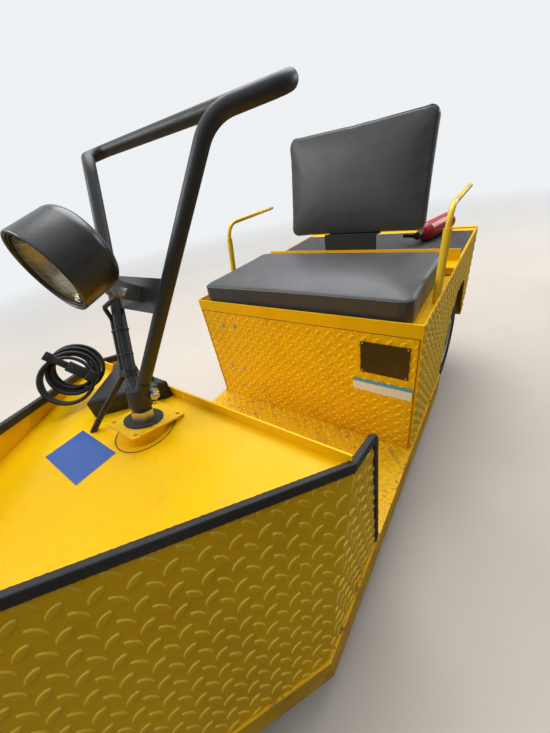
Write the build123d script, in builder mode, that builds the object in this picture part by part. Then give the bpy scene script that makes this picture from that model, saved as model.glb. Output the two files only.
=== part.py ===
"""Electric utility vehicle: three wheels, tiller-bar steering, bench seat and short load deck.

Frame: +X forward, +Y to the driver's left, +Z up, millimetres.
The origin is on the ground, under the middle of the overall length and width.
"""

from math import atan2, cos, radians, sin, tan
import os

from build123d import *

os.makedirs("parts", exist_ok=True)

# Overall body
WIDTH = 863.6
NOSE_X = 1065.0
REAR_X = -1065.0
FLOOR_Z = 200.0
HALF = WIDTH / 2

# Sheet and plate
SHEET = 3.0
FLOOR_PLATE = 5.0
DECK_PLATE = 4.0
LEDGE = 6.0
SEAT_GAP = 0.3

# Perimeter rail under the floor plate
RAIL_HEIGHT = 102.0
RAIL_WEB = 6.0
RAIL_FLANGE = 30.0
RAIL_REAR_X = -501.0

# Apron
BEND_FOOT_X = 593.0
NOSE_SET_IN = 275.8
NOSE_HALF = HALF - NOSE_SET_IN
APRON_LEAN = 9.9
BEND_TOP = 460.0
NOSE_TOP = 566.0
WING_FOOT_X = 300.0
WING_TOP_X = 331.0
WING_TOP = 433.0
WING_CORNER = 28.0
TRIM_WIDTH = 13.0
TRIM_BELOW = 14.0
TRIM_ABOVE = 6.0

# Front deck and bulkhead
DECK_Z = FLOOR_Z + 454
DECK_REAR_X = 427.0
DECK_FLANGE = 24.0

# Steering
RAKE = 15.0
AXIS_X = 531.0
AXIS_Z = FLOOR_Z + 485
STEER_LOCK = 40.0
STEM_RADIUS = 19.0
HEAD_RADIUS = 49.0
RUNNING_GAP = 0.05
PIVOT_LENGTH = 124.0
PIVOT_WIDTH = 106.0
PIVOT_THICK = 5.0
PIVOT_OFFSET = -6.0
PIVOT_TOP = -7.0
PIVOT_HOLE = 4.5
PIVOT_HOLE_INSET = 12.0
WASHER_RADIUS = 40.0
WASHER_THICK = 3.0
NUT_FLATS = 42.0
NUT_HEIGHT = 22.0
SOCKET_RADIUS = 24.0
SOCKET_BASE = 27.0
SOCKET_HEIGHT = 40.0
CROWN_WIDTH = 176.0
CROWN_LENGTH = 76.0
CROWN_THICK = 16.0
CROWN_GAP = 26.0
HEAD_CLEARANCE = 5.0
FORK_LEG_THICK = 10.0
FORK_LEG_WIDTH = 60.0
GUSSET_THICK = 8.0
GUSSET_Y = 30.0

# Handlebar
BAR_RADIUS = 12.7
BAR_BASE_HALF = 24.0
BAR_BASE_X = 506.0
BAR_BASE_Z = FLOOR_Z + 566
BAR_SHOULDER = (317.0, 178.0, FLOOR_Z + 949)
BAR_CORNER = (223.0, 346.0, FLOOR_Z + 970)
BAR_SHOULDER_BEND = 70.0
BAR_CORNER_BEND = 28.0

# Headlamp
LAMP_RIM_X = 556.0
LAMP_RIM_Z = FLOOR_Z + 800
LAMP_PITCH = 16.0
LAMP_RADIUS = 70.0
LAMP_DEPTH = 86.0
LAMP_WALL = 6.0
LENS_THICK = 4.0
LENS_RECESS = 6.0
CROSS_LOW_Z = FLOOR_Z + 689
CROSS_HIGH_Z = FLOOR_Z + 746
CROSS_FLANGE = 16.0

# Wheels
WHEEL_RADIUS = 209.5
TYRE_WIDTH = 110.0
RIM_RADIUS = 101.6
REAR_AXLE_X = -755.0
REAR_WHEEL_SET_IN = 74.8
REAR_WHEEL_Y = HALF - REAR_WHEEL_SET_IN
SPINDLE_RADIUS = 15.0
HUB_RADIUS = 34.0
HUB_HALF = 38.0
RIM_WALL = 4.0
LUG_COUNT = 5

# Seat box and load deck
SEAT_FACE_X = -35.0
RIM_Z = FLOOR_Z + 472
LIP_HEIGHT = 42.0
LIP_PROUD = 2.0
RECESS = 32.0
SIDE_LEDGE = 43.0
FRONT_LEDGE = 23.0
LEDGE_FOLD = 14.0
SHELF_FRONT_X = -483.5
CROSS_LIP_X = -575.0
CROSS_LIP_HEIGHT = 40.0
REAR_DECK_Z = FLOOR_Z + 468
MAT_THICK = 3.0
MAT_FRONT_X = -587.0
MAT_REAR_X = -983.0
MAT_SET_IN = 14.8
MAT_HALF = HALF - MAT_SET_IN
REAR_FLANGE = 22.0
TAIL_TIP_X = -1015.0
TAIL_TIP_Z = FLOOR_Z + 40
TAIL_CORNER_Z = FLOOR_Z + 124

# Seat
LID_FRONT_X = -51.0
LID_REAR_X = -478.0
LID_SET_IN = 39.8
LID_HALF = HALF - LID_SET_IN
LID_THICK = 6.0
HINGE_X = -488.0
HINGE_Z = FLOOR_Z + 477
CUSHION_FRONT_X = -45.0
CUSHION_REAR_X = -466.0
CUSHION_SET_IN = 37.8
CUSHION_HALF = HALF - CUSHION_SET_IN
CUSHION_EDGE_Z = FLOOR_Z + 522
CUSHION_CROWN_Z = FLOOR_Z + 558

# Backrest
BACK_FOOT_X = -575.0
BACK_FOOT_Z = FLOOR_Z + 574
BACK_HEIGHT = 381.0
BACK_HALF = 289.0
BACK_THICK = 55.0
BACK_RECLINE = 10.3
BRACKET_HALF = 115.0
BRACKET_THICK = 6.0

# Hip restraints
HOOP_SET_IN = 20.6
HOOP_Y = HALF - HOOP_SET_IN
HOOP_FOOT_X = -250.0
HOOP_BEND_X = -292.0
HOOP_TOP_Z = FLOOR_Z + 700
HOOP_REAR_X = -625.0
HOOP_SLEEVE_Z = FLOOR_Z + 645
HOOP_RADIUS = 8.0
POST_RADIUS = 11.0
HOOP_BEND = 60.0

# Extinguisher lying on the load deck
BOTTLE_RADIUS = 38.0
BOTTLE_LENGTH = 235.0
BOTTLE_X = -790.0
BOTTLE_Y = 238.0
BOTTLE_TURN = 15.3

# Console and charger cord on the front deck
CONSOLE_CORNERS = (
    (432.0, -38.0),
    (444.0, -38.0),
    (574.0, -160.0),
    (462.0, -236.0),
    (446.0, -262.0),
    (432.0, -262.0),
)
KNOB_PLACE = (446.0, -82.0)
KNOB_RADIUS = 9.0
KNOB_HEIGHT = 12.0
CONSOLE_HEIGHT = 46.0
COIL_OUTER = 80.0
COIL_INNER = 42.0
COIL_THICK = 40.0
COIL_PLACE = (532.0, -276.0)
COIL_FACING = (0.23, 0.86, 0.46)

# Battery and pedals
BATTERY_X = -260.0
BATTERY_LENGTH = 360.0
BATTERY_WIDTH = 680.0
BATTERY_HEIGHT = 290.0
PEDAL_X = 372.0

# Running gear
FRAME_RAIL_Y = 220.0
FRAME_RAIL_WIDTH = 50.0
FRAME_RAIL_HEIGHT = 45.0
FRAME_RAIL_WALL = 5.0
KICK_REAR_X = -546.0
KICK_TOP_Z = FLOOR_Z + 115
TAIL_RAIL_X = -1020.0
POST_LENGTH = 40.0
AXLE_TUBE_RADIUS = 32.0
SPRING_WIDTH = 45.0
SPRING_THICK = 8.0
SPRING_HALF_SPAN = 195.0
MOTOR_RADIUS = 70.0
MOTOR_NECK = 40.0
MOTOR_LENGTH = 132.0
GEARBOX_RADIUS = 95.0
GEARBOX_WIDTH = 130.0


def write(part, name, colour):
    """Label a finished piece and write it."""
    part.label = name
    part.color = Color(*colour)
    export_step(part, "parts/" + name + ".step")


YELLOW = (0.96, 0.72, 0.05)
BLACK = (0.05, 0.05, 0.06)
STEEL = (0.62, 0.63, 0.65)

# Outline of the floor in plan, and of the panels that stand on it, one ledge inside
PLAN_ANGLE = atan2(HALF - NOSE_HALF, NOSE_X - BEND_FOOT_X)
PANEL_HALF = HALF - LEDGE
PANEL_BEND_X = BEND_FOOT_X - LEDGE * sin(PLAN_ANGLE) / (1 + cos(PLAN_ANGLE))
PANEL_NOSE_X = NOSE_X - LEDGE
PANEL_NOSE_HALF = NOSE_HALF - LEDGE * cos(PLAN_ANGLE) / (1 + sin(PLAN_ANGLE))
LEAN = radians(APRON_LEAN)

# The leaning front panel: outward normal, foot direction and slope direction
FRONT_NORMAL = Vector(sin(PLAN_ANGLE) * cos(LEAN), cos(PLAN_ANGLE) * cos(LEAN), sin(LEAN))
FRONT_ALONG = Vector(cos(PLAN_ANGLE), -sin(PLAN_ANGLE), 0)
FRONT_FOOT = Vector(PANEL_BEND_X, PANEL_HALF, FLOOR_Z)
FRONT_PLANE = Plane(origin=FRONT_FOOT, x_dir=FRONT_ALONG, z_dir=-FRONT_NORMAL)
WING_PLANE = Plane(origin=(0, PANEL_HALF, FLOOR_Z), x_dir=(1, 0, 0), z_dir=(0, -1, 0))
NOSE_NORMAL = Vector(cos(LEAN), 0, sin(LEAN))
NOSE_PLANE = Plane(origin=(PANEL_NOSE_X, 0, FLOOR_Z), x_dir=(0, -1, 0), z_dir=-NOSE_NORMAL)


def front_y(x, z, inward=0.0):
    """Y of the left front panel's face, moved inward, at a given X and height."""
    height = z - FLOOR_Z
    run = FRONT_NORMAL.X * (x - PANEL_BEND_X) + FRONT_NORMAL.Z * height + inward
    return PANEL_HALF - run / FRONT_NORMAL.Y


def nose_x(z, inward=0.0):
    """X of the nose panel's face, moved inward, at a given height."""
    return PANEL_NOSE_X - (NOSE_NORMAL.Z * (z - FLOOR_Z) + inward) / NOSE_NORMAL.X


def bend_x(z, inward=0.0):
    """X where the front panel's face meets the wing's face at a given height."""
    height = z - FLOOR_Z
    across = FRONT_NORMAL.Y * -inward
    return PANEL_BEND_X - (FRONT_NORMAL.Z * height + inward + across) / FRONT_NORMAL.X


BEND_TOP_POINT = Vector(bend_x(FLOOR_Z + BEND_TOP), PANEL_HALF, FLOOR_Z + BEND_TOP)
NOSE_TOP_Z = FLOOR_Z + NOSE_TOP
NOSE_TOP_POINT = Vector(nose_x(NOSE_TOP_Z), front_y(nose_x(NOSE_TOP_Z), NOSE_TOP_Z), NOSE_TOP_Z)
NOSE_FOOT_POINT = Vector(PANEL_NOSE_X, PANEL_NOSE_HALF, FLOOR_Z)


def flat(plane, point):
    """A point of space as a pair in a plane's own coordinates."""
    local = plane.to_local_coords(point)
    return (local.X, local.Y)


def floor_outline(inset=0.0, rear=RAIL_REAR_X):
    """Corner points of the floor's outline, moved inward by an inset."""
    half = HALF - inset
    bend = BEND_FOOT_X - inset * sin(PLAN_ANGLE) / (1 + cos(PLAN_ANGLE))
    nose = NOSE_HALF - inset * cos(PLAN_ANGLE) / (1 + sin(PLAN_ANGLE))
    front = NOSE_X - inset
    return [(rear, half), (bend, half), (front, nose), (front, -nose), (bend, -half), (rear, -half)]


# Steering axis: s runs up along it from the point (AXIS_X, 0, AXIS_Z)
AXIS_DIR = Vector(-sin(radians(RAKE)), 0, cos(radians(RAKE)))


def on_axis(s):
    """Point of the steering axis at the distance s above its reference point."""
    return Vector(AXIS_X, 0, AXIS_Z) + AXIS_DIR * s


def axis_plane(s):
    """Plane square to the steering axis, with its x direction forward."""
    return Plane(origin=on_axis(s), x_dir=(cos(radians(RAKE)), 0, sin(radians(RAKE))), z_dir=AXIS_DIR)


AXLE_S = (WHEEL_RADIUS - AXIS_Z) / cos(radians(RAKE))
FRONT_AXLE = on_axis(AXLE_S)
CROWN_BASE_S = AXLE_S + WHEEL_RADIUS + CROWN_GAP
HEAD_BASE_S = CROWN_BASE_S + CROWN_THICK + HEAD_CLEARANCE
BULKHEAD_X = DECK_REAR_X + DECK_PLATE + SHEET

# Perimeter rail: an angle bent round the outline, open at the rear
with BuildPart() as perimeter_rail:
    with BuildSketch(Plane.XY.offset(FLOOR_Z - FLOOR_PLATE)):
        Polygon(*floor_outline(), align=None)
        Polygon(*floor_outline(RAIL_WEB, RAIL_REAR_X - RAIL_WEB), align=None, mode=Mode.SUBTRACT)
    extrude(amount=-RAIL_HEIGHT)
    with BuildSketch(Plane.XY.offset(FLOOR_Z - FLOOR_PLATE - RAIL_HEIGHT)):
        Polygon(*floor_outline(), align=None)
        Polygon(*floor_outline(RAIL_FLANGE, RAIL_REAR_X - RAIL_WEB), align=None, mode=Mode.SUBTRACT)
    extrude(amount=RAIL_WEB)
write(perimeter_rail.part, "perimeter_rail", YELLOW)

# Floor plate with the opening for the steered wheel
WELL_FRONT_X = FRONT_AXLE.X + WHEEL_RADIUS + 20
WELL_REAR_X = FRONT_AXLE.X - WHEEL_RADIUS - 12
WELL_HALF = 186.0
with BuildPart() as floor_plate:
    with BuildSketch(Plane.XY.offset(FLOOR_Z - FLOOR_PLATE)):
        Polygon(*floor_outline(), align=None)
        with Locations(((WELL_FRONT_X + WELL_REAR_X) / 2, 0)):
            RectangleRounded(WELL_FRONT_X - WELL_REAR_X, 2 * WELL_HALF, 40, mode=Mode.SUBTRACT)
    extrude(amount=FLOOR_PLATE)
write(floor_plate.part, "floor_plate", YELLOW)

# Inner frame: two box rails, raised over the rear axle, with cross members and deck posts
FRAME_TOP_Z = FLOOR_Z - FLOOR_PLATE
FRAME_FRONT_X = BULKHEAD_X
CROSS_MEMBERS = (RAIL_REAR_X + FRAME_RAIL_WIDTH, SEAT_FACE_X, FRAME_FRONT_X - FRAME_RAIL_WIDTH)
KICK_FRONT_X = RAIL_REAR_X - SEAT_GAP
with BuildPart() as frame_rails:
    for side in (-1, 1):
        # low rail under the floor
        with BuildSketch(Plane.YZ.offset(KICK_REAR_X)):
            with Locations((side * FRAME_RAIL_Y, FRAME_TOP_Z - FRAME_RAIL_HEIGHT / 2)):
                Rectangle(FRAME_RAIL_WIDTH, FRAME_RAIL_HEIGHT)
                Rectangle(
                    FRAME_RAIL_WIDTH - 2 * FRAME_RAIL_WALL,
                    FRAME_RAIL_HEIGHT - 2 * FRAME_RAIL_WALL,
                    mode=Mode.SUBTRACT,
                )
        extrude(amount=FRAME_FRONT_X - KICK_REAR_X)
        # upright behind the floor plate, raised rail over the axle and post under the load deck
        with BuildSketch(Plane.XZ.offset(-side * FRAME_RAIL_Y)):
            Polygon(
                (KICK_FRONT_X, FRAME_TOP_Z - FRAME_RAIL_HEIGHT),
                (KICK_FRONT_X, KICK_TOP_Z),
                (TAIL_RAIL_X + POST_LENGTH, KICK_TOP_Z),
                (TAIL_RAIL_X + POST_LENGTH, REAR_DECK_Z - DECK_PLATE),
                (TAIL_RAIL_X, REAR_DECK_Z - DECK_PLATE),
                (TAIL_RAIL_X, KICK_TOP_Z - FRAME_RAIL_HEIGHT),
                (KICK_REAR_X, KICK_TOP_Z - FRAME_RAIL_HEIGHT),
                (KICK_REAR_X, FRAME_TOP_Z - FRAME_RAIL_HEIGHT),
                align=None,
            )
        extrude(amount=FRAME_RAIL_WIDTH / 2, both=True)
    for member_x in CROSS_MEMBERS:
        with BuildSketch(Plane.XY.offset(FRAME_TOP_Z)):
            with Locations((member_x, 0)):
                Rectangle(FRAME_RAIL_WIDTH, 2 * (HALF - RAIL_WEB - SEAT_GAP))
                Rectangle(
                    FRAME_RAIL_WIDTH,
                    2 * FRAME_RAIL_Y + FRAME_RAIL_WIDTH,
                    mode=Mode.SUBTRACT,
                )
        extrude(amount=-FRAME_RAIL_HEIGHT)
        with BuildSketch(Plane.XY.offset(FRAME_TOP_Z)):
            with Locations((member_x, 0)):
                Rectangle(FRAME_RAIL_WIDTH, 2 * FRAME_RAIL_Y - FRAME_RAIL_WIDTH)
        extrude(amount=-FRAME_RAIL_HEIGHT)
    with BuildSketch(Plane.XY.offset(KICK_TOP_Z)):
        with Locations((TAIL_RAIL_X + POST_LENGTH / 2, 0)):
            Rectangle(POST_LENGTH, 2 * FRAME_RAIL_Y)
    extrude(amount=-FRAME_RAIL_HEIGHT)
write(frame_rails.part, "frame_rails", YELLOW)

# Apron side: the wing and the leaning front panel, one bent sheet
with BuildPart() as apron_left:
    with BuildSketch(WING_PLANE):
        with BuildLine():
            FilletPolyline(
                (WING_FOOT_X, 0),
                (WING_TOP_X, WING_TOP),
                flat(WING_PLANE, BEND_TOP_POINT),
                radius=WING_CORNER,
            )
            Polyline(flat(WING_PLANE, BEND_TOP_POINT), (PANEL_BEND_X, 0), (WING_FOOT_X, 0))
        make_face()
    extrude(amount=SHEET)
    with BuildSketch(FRONT_PLANE):
        Polygon(
            (0, 0),
            flat(FRONT_PLANE, NOSE_FOOT_POINT),
            flat(FRONT_PLANE, NOSE_TOP_POINT),
            flat(FRONT_PLANE, BEND_TOP_POINT),
            align=None,
        )
    extrude(amount=SHEET)
    split(bisect_by=WING_PLANE, keep=Keep.TOP)
    split(bisect_by=NOSE_PLANE.offset(SHEET + SEAT_GAP), keep=Keep.TOP)
    split(bisect_by=Plane.XY.offset(FLOOR_Z), keep=Keep.TOP)
write(apron_left.part, "apron_left", YELLOW)

with BuildPart() as apron_right:
    mirror(apron_left.part, about=Plane.XZ)
write(apron_right.part, "apron_right", YELLOW)

# Nose panel between the two front panels
with BuildPart() as apron_nose:
    with BuildSketch(NOSE_PLANE):
        Polygon(
            (-PANEL_NOSE_HALF, 0),
            (PANEL_NOSE_HALF, 0),
            (NOSE_TOP_POINT.Y, flat(NOSE_PLANE, NOSE_TOP_POINT)[1]),
            (-NOSE_TOP_POINT.Y, flat(NOSE_PLANE, NOSE_TOP_POINT)[1]),
            align=None,
        )
    extrude(amount=SHEET)
    split(bisect_by=Plane.XY.offset(FLOOR_Z), keep=Keep.TOP)
write(apron_nose.part, "apron_nose", YELLOW)


def trim_bar(start, end, normal, lap_start, lap_end):
    """A bar of edge trim centred on the sheet, from one edge point to another."""
    along = (end - start).normalized()
    origin = start - along * lap_start - normal * (SHEET / 2)
    length = (end - start).length + lap_start + lap_end
    with BuildPart() as bar:
        with BuildSketch(Plane(origin=origin, x_dir=along, z_dir=-normal)):
            with Locations((length / 2, (TRIM_ABOVE - TRIM_BELOW) / 2)):
                Rectangle(length, TRIM_ABOVE + TRIM_BELOW)
        extrude(amount=TRIM_WIDTH / 2, both=True)
    return bar.part


# Rubber trim over the apron's top edges and down the rear edges of the wings
BEND_TOP_FLAT = Vector(*flat(WING_PLANE, BEND_TOP_POINT))
WING_TOP_FLAT = Vector(WING_TOP_X, WING_TOP)
WING_FOOT_FLAT = Vector(WING_FOOT_X, 0)
REACH = 300.0
EDGE_FRONT = BEND_TOP_FLAT + (BEND_TOP_FLAT - WING_TOP_FLAT).normalized() * REACH
EDGE_FOOT = WING_FOOT_FLAT + (WING_FOOT_FLAT - WING_TOP_FLAT).normalized() * REACH
BEND_UP = BEND_TOP_FLAT + (BEND_TOP_FLAT - Vector(PANEL_BEND_X, 0)).normalized() * REACH
BEND_DOWN = Vector(PANEL_BEND_X, 0) - (BEND_TOP_FLAT - Vector(PANEL_BEND_X, 0)).normalized() * REACH
with BuildSketch() as wing_edge:
    with BuildLine():
        FilletPolyline(EDGE_FOOT, WING_TOP_FLAT, EDGE_FRONT, radius=WING_CORNER)
        Polyline(EDGE_FRONT, (EDGE_FRONT.X, EDGE_FOOT.Y), EDGE_FOOT)
    make_face()
with BuildPart() as trim_half:
    with BuildSketch(WING_PLANE.offset(SHEET / 2)):
        add(offset(wing_edge.sketch, amount=TRIM_ABOVE, mode=Mode.PRIVATE))
        add(offset(wing_edge.sketch, amount=-TRIM_BELOW, mode=Mode.PRIVATE), mode=Mode.SUBTRACT)
        Polygon(
            BEND_UP,
            BEND_DOWN,
            (EDGE_FRONT.X + REACH, BEND_DOWN.Y),
            (EDGE_FRONT.X + REACH, BEND_UP.Y),
            align=None,
            mode=Mode.SUBTRACT,
        )
        with Locations((PANEL_BEND_X, -REACH)):
            Rectangle(4 * REACH, 2 * REACH, mode=Mode.SUBTRACT)
    extrude(amount=TRIM_WIDTH / 2, both=True)
    add(trim_bar(BEND_TOP_POINT, NOSE_TOP_POINT, FRONT_NORMAL, 1.5, 4.0))
    add(trim_bar(NOSE_TOP_POINT, Vector(NOSE_TOP_POINT.X, 0, NOSE_TOP_POINT.Z), NOSE_NORMAL, 1.5, 0))
with BuildPart() as edge_trim:
    add(trim_half.part)
    mirror(trim_half.part, about=Plane.XZ)
    add(apron_left.part, mode=Mode.SUBTRACT)
    add(apron_right.part, mode=Mode.SUBTRACT)
    add(apron_nose.part, mode=Mode.SUBTRACT)
write(edge_trim.part, "edge_trim", BLACK)

# Front deck inside the apron, with its rear flange and the hole round the steering head
DECK_INSIDE = SHEET + SEAT_GAP
DECK_CORNERS = [
    (DECK_REAR_X, PANEL_HALF - DECK_INSIDE),
    (bend_x(DECK_Z, DECK_INSIDE), PANEL_HALF - DECK_INSIDE),
    (nose_x(DECK_Z, DECK_INSIDE), front_y(nose_x(DECK_Z, DECK_INSIDE), DECK_Z, DECK_INSIDE)),
]
with BuildPart() as front_deck:
    with BuildSketch(Plane.XY.offset(DECK_Z - DECK_PLATE)):
        Polygon(*DECK_CORNERS, *[(x, -y) for x, y in reversed(DECK_CORNERS)], align=None)
    extrude(amount=DECK_PLATE)
    with BuildSketch(Plane.XY.offset(DECK_Z)):
        with Locations((DECK_REAR_X, 0)):
            Rectangle(DECK_PLATE, 2 * (PANEL_HALF - DECK_INSIDE), align=(Align.MIN, Align.CENTER))
    extrude(amount=DECK_FLANGE)
    with BuildSketch(axis_plane(0)):
        Circle(HEAD_RADIUS + SEAT_GAP)
    extrude(amount=2 * HEAD_RADIUS, both=True, mode=Mode.SUBTRACT)
    add(edge_trim.part, mode=Mode.SUBTRACT)
write(front_deck.part, "front_deck", YELLOW)

# Bulkhead under the deck's rear edge, between the wings
with BuildPart() as bulkhead:
    with BuildSketch(Plane.YZ.offset(BULKHEAD_X - SHEET)):
        with Locations((0, FLOOR_Z)):
            Rectangle(
                2 * (PANEL_HALF - DECK_INSIDE),
                DECK_Z - DECK_PLATE - FLOOR_Z,
                align=(Align.CENTER, Align.MIN),
            )
    extrude(amount=SHEET)
    add(edge_trim.part, mode=Mode.SUBTRACT)
write(bulkhead.part, "bulkhead", YELLOW)

# Steering head: collar tube through the deck, tilted pivot plate, gussets to the bulkhead
GUSSET_LOW = on_axis(HEAD_BASE_S + 25)
with BuildPart() as steering_head:
    with BuildSketch(axis_plane(HEAD_BASE_S)):
        Circle(HEAD_RADIUS)
    extrude(amount=PIVOT_TOP - PIVOT_THICK - HEAD_BASE_S)
    with BuildSketch(axis_plane(PIVOT_TOP - PIVOT_THICK)):
        with Locations((PIVOT_OFFSET, 0)):
            RectangleRounded(PIVOT_LENGTH, PIVOT_WIDTH, 8)
            with GridLocations(
                PIVOT_LENGTH - 2 * PIVOT_HOLE_INSET, PIVOT_WIDTH - 2 * PIVOT_HOLE_INSET, 2, 2
            ):
                Circle(PIVOT_HOLE, mode=Mode.SUBTRACT)
    extrude(amount=PIVOT_THICK)
    for side in (-1, 1):
        with BuildSketch(Plane.XZ.offset(-side * GUSSET_Y)):
            Polygon(
                (BULKHEAD_X + SEAT_GAP, GUSSET_LOW.Z),
                (BULKHEAD_X + SEAT_GAP, DECK_Z - DECK_PLATE - SEAT_GAP),
                (AXIS_X, DECK_Z - DECK_PLATE - SEAT_GAP),
                (GUSSET_LOW.X, GUSSET_LOW.Z),
                align=None,
            )
        extrude(amount=GUSSET_THICK / 2, both=True)
    with BuildSketch(axis_plane(HEAD_BASE_S - 60)):
        Circle(STEM_RADIUS + RUNNING_GAP)
    extrude(amount=PIVOT_TOP - HEAD_BASE_S + 120, mode=Mode.SUBTRACT)
write(steering_head.part, "steering_head", YELLOW)

# Steering fork: stem, crown, two legs and the wheel's axle
AXLE_PLANE = Plane(origin=FRONT_AXLE, x_dir=(1, 0, 0), z_dir=(0, 1, 0))
STEM_TOP_S = SOCKET_BASE + SOCKET_HEIGHT
with BuildPart() as steering_fork:
    with BuildSketch(axis_plane(CROWN_BASE_S)):
        RectangleRounded(CROWN_LENGTH, CROWN_WIDTH, 14)
    extrude(amount=CROWN_THICK)
    with BuildSketch(axis_plane(CROWN_BASE_S + CROWN_THICK)):
        Circle(STEM_RADIUS)
    extrude(amount=SOCKET_BASE - CROWN_BASE_S - CROWN_THICK)
    for side in (-1, 1):
        with BuildSketch(axis_plane(AXLE_S)):
            with Locations((0, side * (CROWN_WIDTH - FORK_LEG_THICK) / 2)):
                Rectangle(FORK_LEG_WIDTH, FORK_LEG_THICK)
        extrude(amount=CROWN_BASE_S - AXLE_S)
        with BuildSketch(AXLE_PLANE.offset(side * (CROWN_WIDTH - FORK_LEG_THICK) / 2)):
            Circle(FORK_LEG_WIDTH / 2)
        extrude(amount=FORK_LEG_THICK / 2, both=True)
    with BuildSketch(AXLE_PLANE):
        Circle(SPINDLE_RADIUS)
    extrude(amount=CROWN_WIDTH / 2 + 4, both=True)
    with BuildSketch(AXLE_PLANE.offset(CROWN_WIDTH / 2 + 4)):
        RegularPolygon(SPINDLE_RADIUS + 6, 6)
    extrude(amount=10)
    with BuildSketch(AXLE_PLANE.offset(-CROWN_WIDTH / 2 - 4)):
        RegularPolygon(SPINDLE_RADIUS + 6, 6)
    extrude(amount=-10)
write(steering_fork.part, "steering_fork", BLACK)

# Washer and nut on the stem, over the pivot plate
with BuildPart() as stem_nut:
    with BuildSketch(axis_plane(PIVOT_TOP + SEAT_GAP)):
        Circle(WASHER_RADIUS)
    extrude(amount=WASHER_THICK)
    with BuildSketch(axis_plane(PIVOT_TOP + SEAT_GAP + WASHER_THICK)):
        RegularPolygon(NUT_FLATS / 2, 6, major_radius=False)
    extrude(amount=NUT_HEIGHT)
    with BuildSketch(axis_plane(PIVOT_TOP)):
        Circle(STEM_RADIUS)
    extrude(amount=WASHER_THICK + NUT_HEIGHT + 2, mode=Mode.SUBTRACT)
write(stem_nut.part, "stem_nut", STEEL)

# Handlebar: one bent tube with both feet in the clamp socket
BAR_LEFT = [(BAR_BASE_X, BAR_BASE_HALF, BAR_BASE_Z), BAR_SHOULDER, BAR_CORNER]
BAR_POINTS = BAR_LEFT + [(x, -y, z) for x, y, z in reversed(BAR_LEFT)]
with BuildPart() as handlebar:
    with BuildLine() as bar_route:
        FilletPolyline(
            *BAR_POINTS,
            radius=[BAR_SHOULDER_BEND, BAR_CORNER_BEND, BAR_CORNER_BEND, BAR_SHOULDER_BEND],
        )
    with BuildSketch(Plane(origin=bar_route.line @ 0, z_dir=bar_route.line % 0)):
        Circle(BAR_RADIUS)
    sweep()
    with BuildSketch(axis_plane(SOCKET_BASE)):
        Circle(SOCKET_RADIUS)
    extrude(amount=SOCKET_HEIGHT)
    foot_low = on_axis(SOCKET_BASE + SOCKET_HEIGHT / 2)
    for side in (-1, 1):
        foot_top = Vector(BAR_BASE_X, side * BAR_BASE_HALF, BAR_BASE_Z)
        with BuildLine() as foot_line:
            Line(foot_low, foot_top)
        with BuildSketch(Plane(origin=foot_low, z_dir=foot_top - foot_low)):
            Circle(BAR_RADIUS)
        extrude(amount=(foot_top - foot_low).length)
write(handlebar.part, "handlebar", BLACK)

# Cross plate between the handlebar's legs: a channel that carries the lamp
BAR_SHOULDER_POINT = Vector(*BAR_SHOULDER)
BAR_FOOT_POINT = Vector(BAR_BASE_X, BAR_BASE_HALF, BAR_BASE_Z)


def leg_point(z):
    """Point of the left leg's centre line at a given height."""
    share = (z - BAR_FOOT_POINT.Z) / (BAR_SHOULDER_POINT.Z - BAR_FOOT_POINT.Z)
    return BAR_FOOT_POINT + (BAR_SHOULDER_POINT - BAR_FOOT_POINT) * share


CROSS_LOW = leg_point(CROSS_LOW_Z)
CROSS_HIGH = leg_point(CROSS_HIGH_Z)
CROSS_SLOPE = Vector(CROSS_HIGH.X - CROSS_LOW.X, 0, CROSS_HIGH.Z - CROSS_LOW.Z)
CROSS_HEIGHT = CROSS_SLOPE.length
CROSS_PLANE = Plane(
    origin=(CROSS_LOW.X, 0, CROSS_LOW.Z),
    x_dir=(0, 1, 0),
    z_dir=Vector(0, 1, 0).cross(CROSS_SLOPE),
)
LEG_TAPER = (CROSS_HIGH.Y - CROSS_LOW.Y) / CROSS_HEIGHT
with BuildPart() as lamp_plate:
    with BuildSketch(CROSS_PLANE):
        Polygon(
            (-CROSS_LOW.Y, 0),
            (CROSS_LOW.Y, 0),
            (CROSS_HIGH.Y, CROSS_HEIGHT),
            (-CROSS_HIGH.Y, CROSS_HEIGHT),
            align=None,
        )
    extrude(amount=-SHEET)
    for edge in (0, CROSS_HEIGHT - SHEET):
        half = CROSS_LOW.Y + LEG_TAPER * edge
        with BuildSketch(CROSS_PLANE):
            with Locations((0, edge)):
                Rectangle(2 * half, SHEET, align=(Align.CENTER, Align.MIN))
        extrude(amount=-CROSS_FLANGE)
    add(handlebar.part, mode=Mode.SUBTRACT)
write(lamp_plate.part, "lamp_plate", BLACK)

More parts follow.
